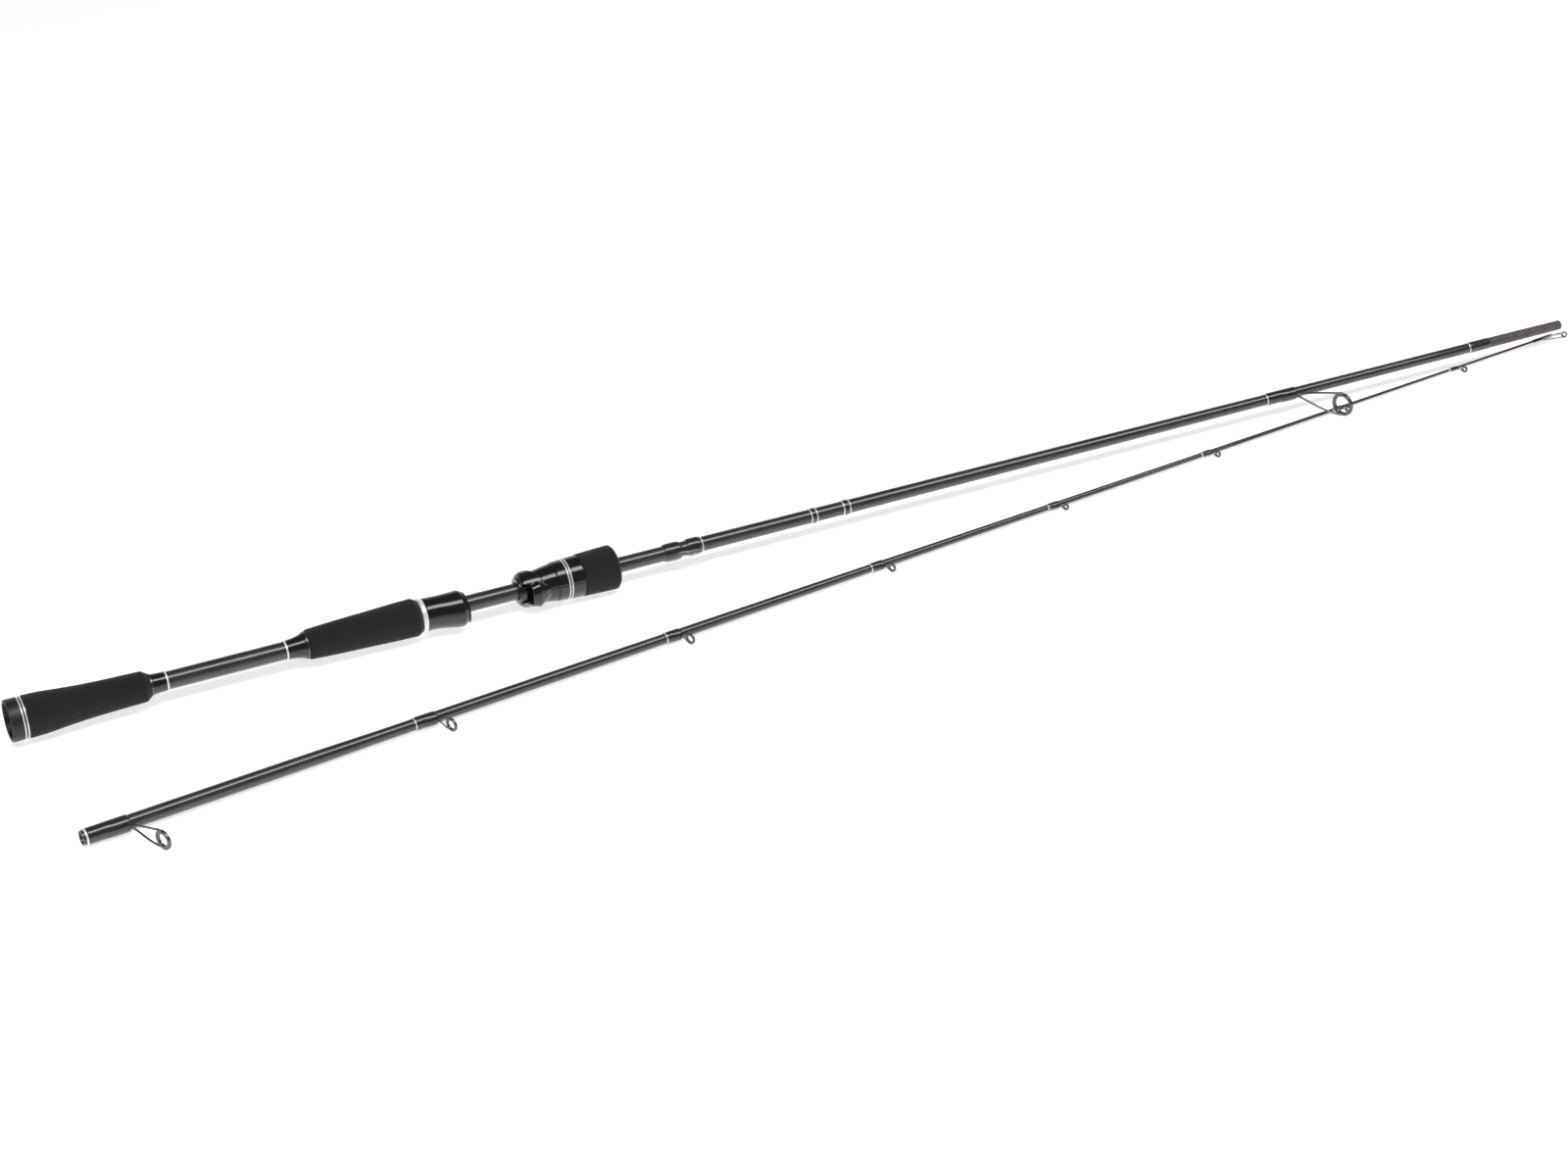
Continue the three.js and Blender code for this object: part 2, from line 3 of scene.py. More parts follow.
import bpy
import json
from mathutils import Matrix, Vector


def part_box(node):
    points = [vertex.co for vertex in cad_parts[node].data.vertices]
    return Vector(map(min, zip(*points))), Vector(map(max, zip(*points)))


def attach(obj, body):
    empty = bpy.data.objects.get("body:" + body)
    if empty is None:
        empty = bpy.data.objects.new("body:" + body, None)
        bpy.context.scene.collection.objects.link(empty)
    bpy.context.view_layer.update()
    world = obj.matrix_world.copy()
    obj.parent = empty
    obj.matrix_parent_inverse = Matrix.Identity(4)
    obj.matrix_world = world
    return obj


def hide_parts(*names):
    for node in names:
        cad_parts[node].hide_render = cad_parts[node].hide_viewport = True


bl_info = {
    "name": "Spinning Rod",
    "version": (1, 0, 0),
    "blender": (4, 5, 0),
    "location": "3D View > Sidebar > Rod",
    "description": "Builds the blanks, grips, reel seat, thread wraps and guides of a spinning rod",
    "category": "Add Mesh",
}

import json
import math

import bmesh
import bpy
import numpy as np
from bpy.props import FloatProperty, FloatVectorProperty, PointerProperty
from mathutils import Euler

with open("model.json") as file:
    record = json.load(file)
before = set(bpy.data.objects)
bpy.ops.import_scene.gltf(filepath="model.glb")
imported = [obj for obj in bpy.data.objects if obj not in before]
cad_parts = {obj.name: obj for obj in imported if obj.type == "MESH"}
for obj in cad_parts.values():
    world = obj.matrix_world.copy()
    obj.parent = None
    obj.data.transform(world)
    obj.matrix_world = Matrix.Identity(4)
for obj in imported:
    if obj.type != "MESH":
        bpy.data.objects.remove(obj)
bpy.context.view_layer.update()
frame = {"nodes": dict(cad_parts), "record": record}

MM = 0.001

# Outer radius of each blank at stations along its section: (distance from the thick end, radius), mm.
BUTT_TAPER = [(7.5, 5.65), (171, 5.65), (300, 5.4), (398, 5.0), (653, 4.4), (807, 4.05), (1006, 3.6),
              (1076, 3.6), (1140, 3.35)]
TIP_TAPER = [(0, 4.5), (130, 4.3), (195, 3.7), (325, 3.45), (467, 3.0), (622, 2.3), (787, 1.7),
             (963, 1.1), (1137, 0.8)]
FERRULE_X = 1076  # where the butt blank's gloss ends and its bare male ferrule starts
BLANK_WALL = 1.1
SOCKET_BORE = 3.65
SOCKET_DEPTH = 72
MOUTH_POINT = 4.1  # radius of the point that marks the socket mouth's flat rim

# Guides: at = ring centre along the section, out = ring centre from the axis, ring = outer radius of
# the frame ring, wrap = length of the thread wrap, run = wrap's end to the ring, wire = leg radius,
# spread = degrees round the ring at which the legs meet it, ceramic = depth of the insert where it
# does not follow from the ring.
STRIPPING = dict(at=928.5, out=29.5, ring=8.4, wrap=24, run=20, wire=0.75, spread=84)
TIP_GUIDES = [
    dict(at=37.5, out=28, ring=6.2, wrap=25, run=9.5, wire=0.65, spread=62, ceramic=1.9),
    dict(at=226.3, out=13, ring=4.4, wrap=14, run=4, wire=0.5, spread=58),
    dict(at=393.9, out=9.2, ring=3.65, wrap=10, run=2.4, wire=0.42, spread=58),
    dict(at=546.5, out=7.3, ring=3.05, wrap=9.5, run=2.2, wire=0.38, spread=58),
    dict(at=687.3, out=6, ring=2.5, wrap=8.5, run=2, wire=0.34, spread=58),
    dict(at=818, out=5.5, ring=2.4, wrap=8, run=2, wire=0.32, spread=58),
    dict(at=936.5, out=5.3, ring=2.4, wrap=8, run=2, wire=0.32, spread=58),
    dict(at=1047, out=5.2, ring=2.4, wrap=8, run=2, wire=0.32, spread=58),
]
RING_LEAN = 17  # degrees by which a guide ring leans towards the tip
TIP_TOP = dict(at=1147, out=4.5, ring=2.35, wire=0.36, lean=30, tube=10, wrap=9)


# Colours and settings ---------------------------------------------------------------------------------

def linear(code):
    """Linear RGB of an sRGB hex colour such as '#2b2827'."""
    share = np.array([int(code[i:i + 2], 16) for i in (1, 3, 5)]) / 255
    return tuple(np.where(share <= 0.04045, share / 12.92, ((share + 0.055) / 1.055) ** 2.4).tolist())


def colour(name, code, description):
    """A colour setting of the rod, given as sRGB hex."""
    return FloatVectorProperty(name=name, description=description, default=linear(code), size=3,
                               min=0, max=1, subtype="COLOR")


class RodColours(bpy.types.PropertyGroup):
    """Colours of the rod's materials."""

    carbon: colour("Carbon", "#1c1a19", "Resin and dark tows of the carbon blanks")
    carbon_light: colour("Carbon light tow", "#454040", "Tows of the weave that catch the light")
    ferrule: colour("Ferrule", "#4d4746", "Bare ground carbon of the male ferrule")
    foam: colour("Foam", "#19171b", "EVA foam of the grips")
    foam_light: colour("Foam light", "#262428", "Lighter cells of the foam")
    seat: colour("Reel seat", "#1b1b1d", "Moulded reel seat and cones")
    cap: colour("Butt cap", "#202023", "Satin butt cap")
    bright: colour("Bright trim", "#fbfaf8", "Plated rings")
    thread: colour("Thread", "#161517", "Wrapping thread under its epoxy")
    silver: colour("Silver thread", "#f2f0ee", "Metallic trim thread")
    titanium: colour("Guide frame", "#6f6b68", "Guide frames")
    steel: colour("Tip-top frame", "#96928f", "Tip-top frame and hook keeper")
    check: colour("Winding check", "#77757a", "Winding checks")
    ceramic: colour("Ceramic", "#2b2a2a", "Ring inserts")
    liner: colour("Arbor", "#1a1a1c", "Arbor inside the rear hood")
    floor: colour("Floor", "#c4c4c4", "Studio floor")


class RodSizes(bpy.types.PropertyGroup):
    """Sizes of the finish that the frame does not fix."""

    tip_roll: FloatProperty(
        name="Tip roll", description="Roll of the tip section about its own axis",
        default=math.radians(3), subtype="ANGLE")
    weave: FloatProperty(
        name="Weave", description="Distance between crossings of the carbon weave",
        default=0.0036, min=0.0003, unit="LENGTH")
    thread: FloatProperty(
        name="Thread", description="Spacing of the wrapping thread's turns",
        default=0.00045, min=0.0001, unit="LENGTH")
    foam_grain: FloatProperty(
        name="Foam grain", description="Size of the foam's cells",
        default=0.0007, min=0.0001, unit="LENGTH")
    lens: FloatProperty(
        name="Lens", description="Focal length of the camera in millimetres", default=70, min=20)


def sizes():
    return bpy.context.scene.rod_sizes


# The two sections' own frames -------------------------------------------------------------------------

class Section:
    """Frame of one rod section: millimetres, +X towards its tip, -Y towards its guides."""

    def __init__(self, origin, turn):
        self.origin = np.array(origin, float)
        self.turn = np.array(turn, float)

    def place(self, points):
        """Row-frame metres of points in this section."""
        return points @ self.turn.T * MM + self.origin

    def span(self, node):
        """First x, last x and outer radius, in millimetres, of a CAD node turned about the axis."""
        mesh = frame["nodes"][node].data
        corners = np.zeros(len(mesh.vertices) * 3, np.float32)
        mesh.vertices.foreach_get("co", corners)
        local = (corners.reshape(-1, 3) - self.origin) @ self.turn / MM
        return local[:, 0].min(), local[:, 0].max(), np.hypot(local[:, 1], local[:, 2]).max()


def butt():
    """Butt section: straight along X, from the butt cap's rim, on the butt blank's axis."""
    low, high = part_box("butt_blank")
    cap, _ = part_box("butt_cap")
    middle = (low + high) / 2
    return Section((cap.x, middle.y, middle.z), np.eye(3))


def tip():
    """Tip section: turned on the floor, dipped and rolled, with its socket mouth as its origin."""
    mouth = next(m for m in frame["record"]["mounts"] if m["name"] == "socket_mouth")
    along = -np.array(mouth["axis"])
    yaw = math.atan2(along[1], along[0])
    dip = -math.asin(along[2])
    roll = -sizes().tip_roll
    turn = np.array(Euler((roll, dip, yaw)).to_matrix())
    return Section(np.array(mouth["pos_m"]) - turn @ (0, 0, MOUTH_POINT * MM), turn)


# Shapes as grids of points ----------------------------------------------------------------------------

def round_angles(count):
    """Angles round the rod, evenly spaced: 0 faces the guides and a quarter turn faces up."""
    return np.linspace(0, 2 * np.pi, count, endpoint=False)


def polar(x, radius, angles):
    """Surface (x, -r cos a, r sin a), where x and r may vary along the rows and round the columns."""
    x, radius, angles = np.broadcast_arrays(x, radius, angles)
    return np.stack([x, -radius * np.cos(angles), radius * np.sin(angles)], -1)


def monotone(stations, x):
    """Cubic through (x, value) stations whose slopes are harmonic means, so it never overshoots."""
    at, value = np.array(stations, float).T
    step = np.diff(at)
    rise = np.diff(value) / step
    same = rise[:-1] * rise[1:] > 0
    safe = np.where(same, rise[:-1] * rise[1:], 1)
    slope = np.concatenate([rise[:1], np.where(same, 2 * safe / np.where(same, rise[:-1] + rise[1:], 1), 0),
                            rise[-1:]])
    k = np.clip(np.searchsorted(at, x) - 1, 0, len(step) - 1)
    t = (x - at[k]) / step[k]
    return ((2 * t**3 - 3 * t**2 + 1) * value[k] + (t**3 - 2 * t**2 + t) * step[k] * slope[k]
            + (3 * t**2 - 2 * t**3) * value[k + 1] + (t**3 - t**2) * step[k] * slope[k + 1])


def curve(stations, count):
    """Points (x, radius, 0) evenly spaced along the monotone cubic through the stations."""
    x = np.linspace(stations[0][0], stations[-1][0], count)
    return np.stack([x, monotone(stations, x), np.zeros(count)], -1)


def outline(*parts, steps=6):
    """Outline of (x, radius, fillet) corners. Each corner becomes a quadratic curve that starts and
    ends its fillet's length away, or half an edge away where the edge is short."""
    corners = np.concatenate([np.atleast_2d(np.array(part, float)) for part in parts])
    point, fillet = corners[:, :2], corners[:, 2]
    back = np.roll(point, 1, 0) - point
    ahead = np.roll(point, -1, 0) - point
    back_length = np.linalg.norm(back, axis=1)
    ahead_length = np.linalg.norm(ahead, axis=1)
    cut = np.minimum(fillet, 0.49 * np.minimum(back_length, ahead_length))[:, None]
    first = point + back / back_length[:, None] * cut
    last = point + ahead / ahead_length[:, None] * cut
    t = np.linspace(0, 1, steps)[None, :, None]
    bent = (1 - t)**2 * first[:, None] + 2 * t * (1 - t) * point[:, None] + t**2 * last[:, None]
    dense = bent.reshape(-1, 2)
    return dense[np.linalg.norm(dense - np.roll(dense, 1, 0), axis=1) > 1e-4]


def turned(shape, count=96, open_ends=False):
    """Outline carried round the section's axis. With open ends the outline starts and ends on it."""
    grid = polar(shape[:, :1], shape[:, 1:2], round_angles(count)[None, :])
    return grid, "poles" if open_ends else "loop"


def band(x0, x1, radius, bore, fillet=0.3, count=96):
    """Ring with softened outer edges."""
    corners = [(x0, bore, 0), (x0, radius, fillet), (x1, radius, fillet), (x1, bore, 0)]
    return turned(outline(corners), count)


def smooth_path(points, count):
    """Catmull-Rom curve through the points, evenly spaced in its parameter."""
    points = np.array(points, float)
    padded = np.concatenate([2 * points[:1] - points[1:2], points, 2 * points[-1:] - points[-2:-1]])
    place = np.linspace(0, len(points) - 1, count)
    k = np.minimum(place.astype(int), len(points) - 2)
    t = (place - k)[:, None]
    a, b, c, d = (padded[k + i] for i in range(4))
    return 0.5 * (2 * b + (c - a) * t + (2 * a - 5 * b + 4 * c - d) * t**2 + (3 * b - a - 3 * c + d) * t**3)


def bezier(points, count):
    """Cubic curve with four control points."""
    a, b, c, d = np.array(points, float)
    t = np.linspace(0, 1, count)[:, None]
    return (1 - t)**3 * a + 3 * t * (1 - t)**2 * b + 3 * t**2 * (1 - t) * c + t**3 * d


def tube(path, radius, up=(0, 0, 1), count=16, flat=1.0):
    """Ellipse carried along a path: across it lie the path's tangent crossed with up, and the normal
    to both. The radius may change along the path, and flat squeezes the ellipse along the normal."""
    tangent = np.gradient(path, axis=0)
    tangent /= np.linalg.norm(tangent, axis=1)[:, None]
    side = np.cross(tangent, np.array(up, float))
    side /= np.linalg.norm(side, axis=1)[:, None]
    normal = np.cross(side, tangent)
    angle = round_angles(count)[None, :, None]
    size = np.broadcast_to(radius, (len(path),))[:, None, None]
    across = np.cos(angle) * side[:, None] + np.sin(angle) * (flat * normal)[:, None]
    return path[:, None] + size * across, "caps"


def smooth_step(x, start, end):
    """0 before start, 1 after end, easing between them."""
    t = np.clip((x - start) / (end - start), 0, 1)
    return t * t * (3 - 2 * t)


def soft_max(*surfaces, blend=0.5):
    """Larger of several radii, with a fillet of about blend where they meet."""
    stacked = np.stack(np.broadcast_arrays(*surfaces)) / blend
    peak = stacked.max(0)
    return (peak + np.log(np.exp(stacked - peak).sum(0))) * blend


# From grids to pieces ---------------------------------------------------------------------------------

def shell_faces(grid, ends):
    """Quads of a grid whose columns run round a closed loop, with each corner's (length, turn).

    The rows close on themselves for a loop, shrink to points for poles and get a lid for caps."""
    rows, columns = grid.shape[:2]
    closed = ends == "loop"
    i = np.arange(rows if closed else rows - 1)[:, None]
    j = np.arange(columns)[None, :]
    below, beside = (i + 1) % rows, (j + 1) % columns
    quads = np.stack(np.broadcast_arrays(i * columns + j, below * columns + j, below * columns + beside,
                                         i * columns + beside), -1).reshape(-1, 4)
    length = grid[..., 0]
    if ends == "caps":
        steps = np.linalg.norm(np.diff(grid.mean(1), axis=0), axis=1)
        length = np.broadcast_to(np.concatenate([[0], np.cumsum(steps)])[:, None], (rows, columns))
    along = np.stack(np.broadcast_arrays(length[i, j], length[below, j], length[below, beside],
                                         length[i, beside]), -1)
    turn = np.stack(np.broadcast_arrays(j, j, j + 1, j + 1), -1) / columns
    corners = np.stack(np.broadcast_arrays(along, turn), -1).reshape(-1, 4, 2)
    lids = []
    if ends == "caps":
        lids = [np.arange(columns), (rows - 1) * columns + np.arange(columns)]
    return quads, corners, lids


def make_piece(name, section, shells, body, finish, nodes=(), sharp=33, second_finish=None):
    """Mesh of one or more closed shells in a section's frame, finished and set to ride on its body.

    second_finish is (finish, x): faces past that x along the section take the other finish."""
    points, faces, corners = [], [], []
    offset = 0
    for grid, ends in shells:
        quads, quad_corners, lids = shell_faces(grid, ends)
        points.append(grid.reshape(-1, 3))
        faces += (quads + offset).tolist() + [(lid + offset).tolist() for lid in lids]
        corners.append(quad_corners.reshape(-1, 2))
        corners += [np.stack([np.zeros(len(lid)), np.linspace(0, 1, len(lid))], -1) for lid in lids]
        offset += grid.shape[0] * grid.shape[1]
    local = np.concatenate(points)
    mesh = bpy.data.meshes.new(name)
    mesh.from_pydata(section.place(local).tolist(), [], faces)
    wrap = mesh.uv_layers.new(name="Wrap")
    wrap.data.foreach_set("uv", np.concatenate(corners).astype(np.float32).ravel())
    mesh.materials.append(material(finish))
    if second_finish:
        mesh.materials.append(material(second_finish[0]))
        middle = np.array([local[face, 0].mean() for face in faces])
        mesh.polygons.foreach_set("material_index", (middle > second_finish[1]).astype(np.int32))
    work = bmesh.new()
    work.from_mesh(mesh)
    bmesh.ops.remove_doubles(work, verts=work.verts, dist=2e-7)
    bmesh.ops.recalc_face_normals(work, faces=work.faces)
    work.to_mesh(mesh)
    work.free()
    mesh.shade_smooth()
    mesh.set_sharp_from_angle(angle=math.radians(sharp))
    piece = bpy.data.objects.new(name, mesh)
    bpy.context.scene.collection.objects.link(piece)
    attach(piece, body)
    if nodes:
        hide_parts(*nodes)
    return piece


# Materials --------------------------------------------------------------------------------------------

def add(tree, kind, sockets=None, **settings):
    """Adds a node with its settings. A socket value that is another node's output is linked."""
    made = tree.nodes.new(kind)
    for key, value in settings.items():
        setattr(made, key, value)
    for key, value in (sockets or {}).items():
        if isinstance(value, bpy.types.NodeSocket):
            tree.links.new(value, made.inputs[key])
        else:
            made.inputs[key].default_value = value
    return made


def surface(name, base, **sockets):
    """New material with one principled shader. Returns the material, its tree and the shader."""
    made = bpy.data.materials.new(name)
    made.use_nodes = True
    tree = made.node_tree
    tree.nodes.clear()
    shader = add(tree, "ShaderNodeBsdfPrincipled", {"Base Color": (*base, 1), **sockets})
    add(tree, "ShaderNodeOutputMaterial", {"Surface": shader.outputs[0]})
    return made, tree, shader


def ramp(tree, factor, low, high, start=0.0, end=1.0):
    """Colour or value between low and high as the factor goes from start to end."""
    return add(tree, "ShaderNodeMapRange", {"Value": factor, "From Min": start, "From Max": end,
                                            "To Min": low, "To Max": high}).outputs[0]


def mixed(tree, factor, first, second):
    """Colour mixed from two linear colours by a factor."""
    node = add(tree, "ShaderNodeMix", data_type="RGBA")
    for socket, value in (("Factor_Float", factor), ("A_Color", (*first, 1)), ("B_Color", (*second, 1))):
        target = next(s for s in node.inputs if s.identifier == socket)
        if isinstance(value, bpy.types.NodeSocket):
            tree.links.new(value, target)
        else:
            target.default_value = value
    return next(s for s in node.outputs if s.identifier == "Result_Color")


def grain(tree, size, detail=3.0, roughness=0.55):
    """Noise in object space whose features are about size metres across."""
    place = add(tree, "ShaderNodeTexCoord")
    return add(tree, "ShaderNodeTexNoise", {"Vector": place.outputs["Object"], "Scale": 1 / size,
                                            "Detail": detail, "Roughness": roughness}).outputs[0]


def rod_coordinates(tree):
    """Length along the piece in millimetres, and turns round it."""
    place = add(tree, "ShaderNodeUVMap", uv_map="Wrap")
    split = add(tree, "ShaderNodeSeparateXYZ", {0: place.outputs[0]})
    return split.outputs[0], split.outputs[1]


def maths(tree, operation, first, second=0.0):
    return add(tree, "ShaderNodeMath", {0: first, 1: second}, operation=operation).outputs[0]


def tint(tree, shader, factor, dark, light):
    """Base colour between two linear colours by a factor. A number as light is dark times it."""
    if not hasattr(light, "__len__"):
        light = tuple(min(1, light * c) for c in dark)
    tree.links.new(mixed(tree, factor, dark, light), shader.inputs["Base Color"])


def vary_roughness(tree, shader, factor, low, high, start=0.0, end=1.0):
    """Roughness between low and high as the factor goes from start to end."""
    tree.links.new(ramp(tree, factor, low, high, start, end), shader.inputs["Roughness"])


def bump(tree, shader, height, distance, strength=1.0, coat=False):
    """Relief of the given depth in metres, under the coat unless coat is set."""
    made = add(tree, "ShaderNodeBump", {"Height": height, "Distance": distance, "Strength": strength})
    tree.links.new(made.outputs[0], shader.inputs["Normal"])
    if coat:
        tree.links.new(made.outputs[0], shader.inputs["Coat Normal"])


def turns_of_thread(tree, pitch):
    """0 to 1 profile of round threads laid side by side round the rod."""
    length, _ = rod_coordinates(tree)
    phase = maths(tree, "MULTIPLY", length, math.pi * MM / pitch)
    return maths(tree, "ABSOLUTE", maths(tree, "SINE", phase))


def carbon_finish(colours):
    """Carbon blank under clear lacquer: dark woven tows that glint in a diamond pattern below a wet,
    mirror-like top coat."""
    made, tree, shader = surface("clear_coated_carbon", colours.carbon, Roughness=0.42, IOR=1.5,
                                 **{"Coat Weight": 1.0, "Coat Roughness": 0.05, "Coat IOR": 1.5})
    length, turn = rod_coordinates(tree)
    crossings = round(2 * math.pi * 4.5 * MM / sizes().weave)
    along = maths(tree, "MULTIPLY", length, 2 * math.pi * MM / sizes().weave)
    across = maths(tree, "MULTIPLY", turn, 2 * math.pi * crossings)
    right = maths(tree, "SINE", maths(tree, "ADD", along, across))
    left = maths(tree, "SINE", maths(tree, "SUBTRACT", along, across))
    weave = maths(tree, "MULTIPLY", right, left)
    patches = grain(tree, 0.02, 2)
    diamonds = ramp(tree, weave, 0, 1, -0.6, 0.6)
    factor = maths(tree, "MULTIPLY", diamonds, ramp(tree, patches, 0.4, 1, 0.3, 0.7))
    tint(tree, shader, factor, colours.carbon, colours.carbon_light)
    vary_roughness(tree, shader, weave, 0.48, 0.34, -1, 1)
    bump(tree, shader, weave, 0.00006, 0.6)
    return made


def ferrule_finish(colours):
    """Male ferrule of bare carbon, ground to fit its socket: an even dull grey with fine turning marks
    and dull rubbed streaks."""
    made, tree, shader = surface("ground_carbon", colours.ferrule, Roughness=0.5, IOR=1.5)
    marks = turns_of_thread(tree, 0.0005)
    rubbed = grain(tree, 0.006, 4)
    tint(tree, shader, ramp(tree, rubbed, 0, 1, 0.35, 0.7), colours.ferrule, 1.6)
    vary_roughness(tree, shader, rubbed, 0.42, 0.6)
    bump(tree, shader, marks, 0.00003, 0.5)
    return made


def foam_finish(colours):
    """Ground EVA foam: closed cells cut open by sanding, which give a soft, dry, near-black surface
    with fine lighter specks."""
    made, tree, shader = surface("sanded_eva_foam", colours.foam, Roughness=0.92, IOR=1.45,
                                 **{"Sheen Weight": 0.12, "Sheen Roughness": 0.6,
                                    "Specular IOR Level": 0.25})
    cells = grain(tree, sizes().foam_grain, 4, 0.65)
    patches = grain(tree, 0.012, 2)
    specks = ramp(tree, cells, 0, 1, 0.42, 0.72)
    factor = maths(tree, "MULTIPLY", specks, ramp(tree, patches, 0.35, 1, 0.3, 0.7))
    tint(tree, shader, factor, colours.foam, colours.foam_light)
    vary_roughness(tree, shader, patches, 0.86, 0.97)
    bump(tree, shader, cells, 0.00022, 0.8)
    return made


def seat_finish(colours):
    """Moulded, polished nylon of the reel seat: piano black with crisp reflections, a trace of
    moulding waviness and fine rub marks."""
    made, tree, shader = surface("polished_nylon", colours.seat, Roughness=0.16, IOR=1.5,
                                 **{"Coat Weight": 0.5, "Coat Roughness": 0.06})
    rubs = grain(tree, 0.0012, 5, 0.7)
    waves = grain(tree, 0.009, 1)
    vary_roughness(tree, shader, rubs, 0.12, 0.24, 0.3, 0.75)
    tint(tree, shader, ramp(tree, rubs, 0, 0.5, 0.4, 0.8), colours.seat, 1.5)
    bump(tree, shader, waves, 0.00005, 0.7, coat=True)
    return made


def cap_finish(colours):
    """Butt cap of spark-textured rubbery plastic: satin black with a fine even grain."""
    made, tree, shader = surface("satin_moulded_cap", colours.cap, Roughness=0.42, IOR=1.48)
    fine = grain(tree, 0.0005, 3, 0.6)
    tint(tree, shader, ramp(tree, fine, 0, 1, 0.4, 0.7), colours.cap, 1.5)
    vary_roughness(tree, shader, fine, 0.36, 0.5, 0.3, 0.7)
    bump(tree, shader, fine, 0.00004, 0.6)
    return made


def bright_finish(colours):
    """Satin-plated brass trim ring: near white from every side, with faint turning lines."""
    made, tree, shader = surface("bright_plating", colours.bright, Metallic=0.3, Roughness=0.3)
    lines = turns_of_thread(tree, 0.0004)
    dust = grain(tree, 0.002, 3)
    vary_roughness(tree, shader, dust, 0.24, 0.36, 0.3, 0.7)
    bump(tree, shader, lines, 0.000008, 0.5)
    return made


def wrap_finish(colours):
    """Black nylon thread wound tight and flooded with epoxy: ribs that show faintly through a thick,
    glassy coat, with painted shade in the grooves between turns and painted highlight on their crests.
    The thread is drawn about twice as coarse as real so that its ribs show."""
    made, tree, shader = surface("epoxied_black_thread", colours.thread, Roughness=0.45, IOR=1.5,
                                 **{"Coat Weight": 1.0, "Coat Roughness": 0.03, "Coat IOR": 1.55})
    ribs = turns_of_thread(tree, sizes().thread)
    # Painted shade and highlight in the base colour: darker in the grooves between turns, lighter on each
    # turn's crest.
    tint(tree, shader, ramp(tree, ribs, 0, 0.6, 0.2, 1), colours.thread, 2.4)
    vary_roughness(tree, shader, ribs, 0.55, 0.36)
    bump(tree, shader, ribs, 0.00008, 0.7)
    return made


def silver_finish(colours):
    """Metallic trim thread under epoxy: a few bright silver turns with dark lines between them."""
    made, tree, shader = surface("silver_thread", colours.silver, Metallic=0.5, Roughness=0.26,
                                 **{"Coat Weight": 0.6, "Coat Roughness": 0.05})
    ribs = turns_of_thread(tree, sizes().thread)
    shade = tuple(0.45 * c for c in colours.silver)
    tint(tree, shader, ramp(tree, ribs, 0, 1, 0.05, 0.5), shade, colours.silver)
    vary_roughness(tree, shader, grain(tree, 0.0008), 0.2, 0.34)
    return made


def frame_finish(colours, name="titanium_oxide_wire", base=None):
    """Vapour-coated stainless guide frame: brownish gunmetal with soft metallic highlights and a
    slightly uneven tone."""
    base = base or colours.titanium
    made, tree, shader = surface(name, base, Metallic=1.0, Roughness=0.3)
    tone = grain(tree, 0.0025, 3)
    tint(tree, shader, ramp(tree, tone, 0, 1, 0.35, 0.7), base, 1.35)
    vary_roughness(tree, shader, tone, 0.22, 0.36, 0.3, 0.7)
    bump(tree, shader, grain(tree, 0.0003, 2), 0.00001, 0.4)
    return made


def check_finish(colours):
    """Winding checks of anodised aluminium: plain grey with a soft gleam."""
    return frame_finish(colours, "anodised_aluminium", tuple(colours.check))


def steel_finish(colours):
    """Bent stainless wire of the tip-top and the hook keeper: lighter and brighter than the guides."""
    return frame_finish(colours, "stainless_wire", tuple(colours.steel))


def ceramic_finish(colours):
    """Polished silicon carbide ring: dense dark grey, with glassy highlights on its rounded bore."""
    made, tree, shader = surface("polished_ceramic", colours.ceramic, Roughness=0.14, IOR=2.0)
    tone = grain(tree, 0.0009, 4)
    tint(tree, shader, ramp(tree, tone, 0, 1, 0.35, 0.7), colours.ceramic, 1.5)
    vary_roughness(tree, shader, tone, 0.1, 0.2)
    return made


def liner_finish(colours):
    """Moulded arbor inside the rear hood: dull black with a slight skin sheen and mould grain."""
    made, tree, shader = surface("soft_liner", colours.liner, Roughness=0.55, IOR=1.45)
    fine = grain(tree, 0.0008, 3)
    tint(tree, shader, ramp(tree, fine, 0, 1, 0.4, 0.7), colours.liner, 1.6)
    vary_roughness(tree, shader, fine, 0.48, 0.64, 0.3, 0.7)
    bump(tree, shader, fine, 0.00003, 0.5)
    return made


def floor_finish(colours):
    """Seamless white paper, lit from below as on a light table: matt, with a hardly visible fibre
    tone and only faint shadows."""
    made, tree, shader = surface("white_paper", colours.floor, Roughness=0.9, IOR=1.4,
                                 **{"Emission Color": (1, 1, 1, 1), "Emission Strength": 0.75})
    tone = grain(tree, 0.05, 3)
    shade = tuple(0.985 * c for c in colours.floor)
    tint(tree, shader, tone, shade, colours.floor)
    return made


FINISHES = {
    "carbon": carbon_finish, "ferrule": ferrule_finish, "foam": foam_finish, "seat": seat_finish,
    "cap": cap_finish, "bright": bright_finish, "wrap": wrap_finish, "silver": silver_finish,
    "frame": frame_finish, "steel": steel_finish, "check": check_finish, "ceramic": ceramic_finish,
    "liner": liner_finish, "floor": floor_finish,
}
made_finishes = {}


def material(finish):
    """The material of a finish, made the first time that it is asked for."""
    if finish not in made_finishes:
        made_finishes[finish] = FINISHES[finish](bpy.context.scene.rod_colours)
    return made_finishes[finish]


# Thread wraps -----------------------------------------------------------------------------------------

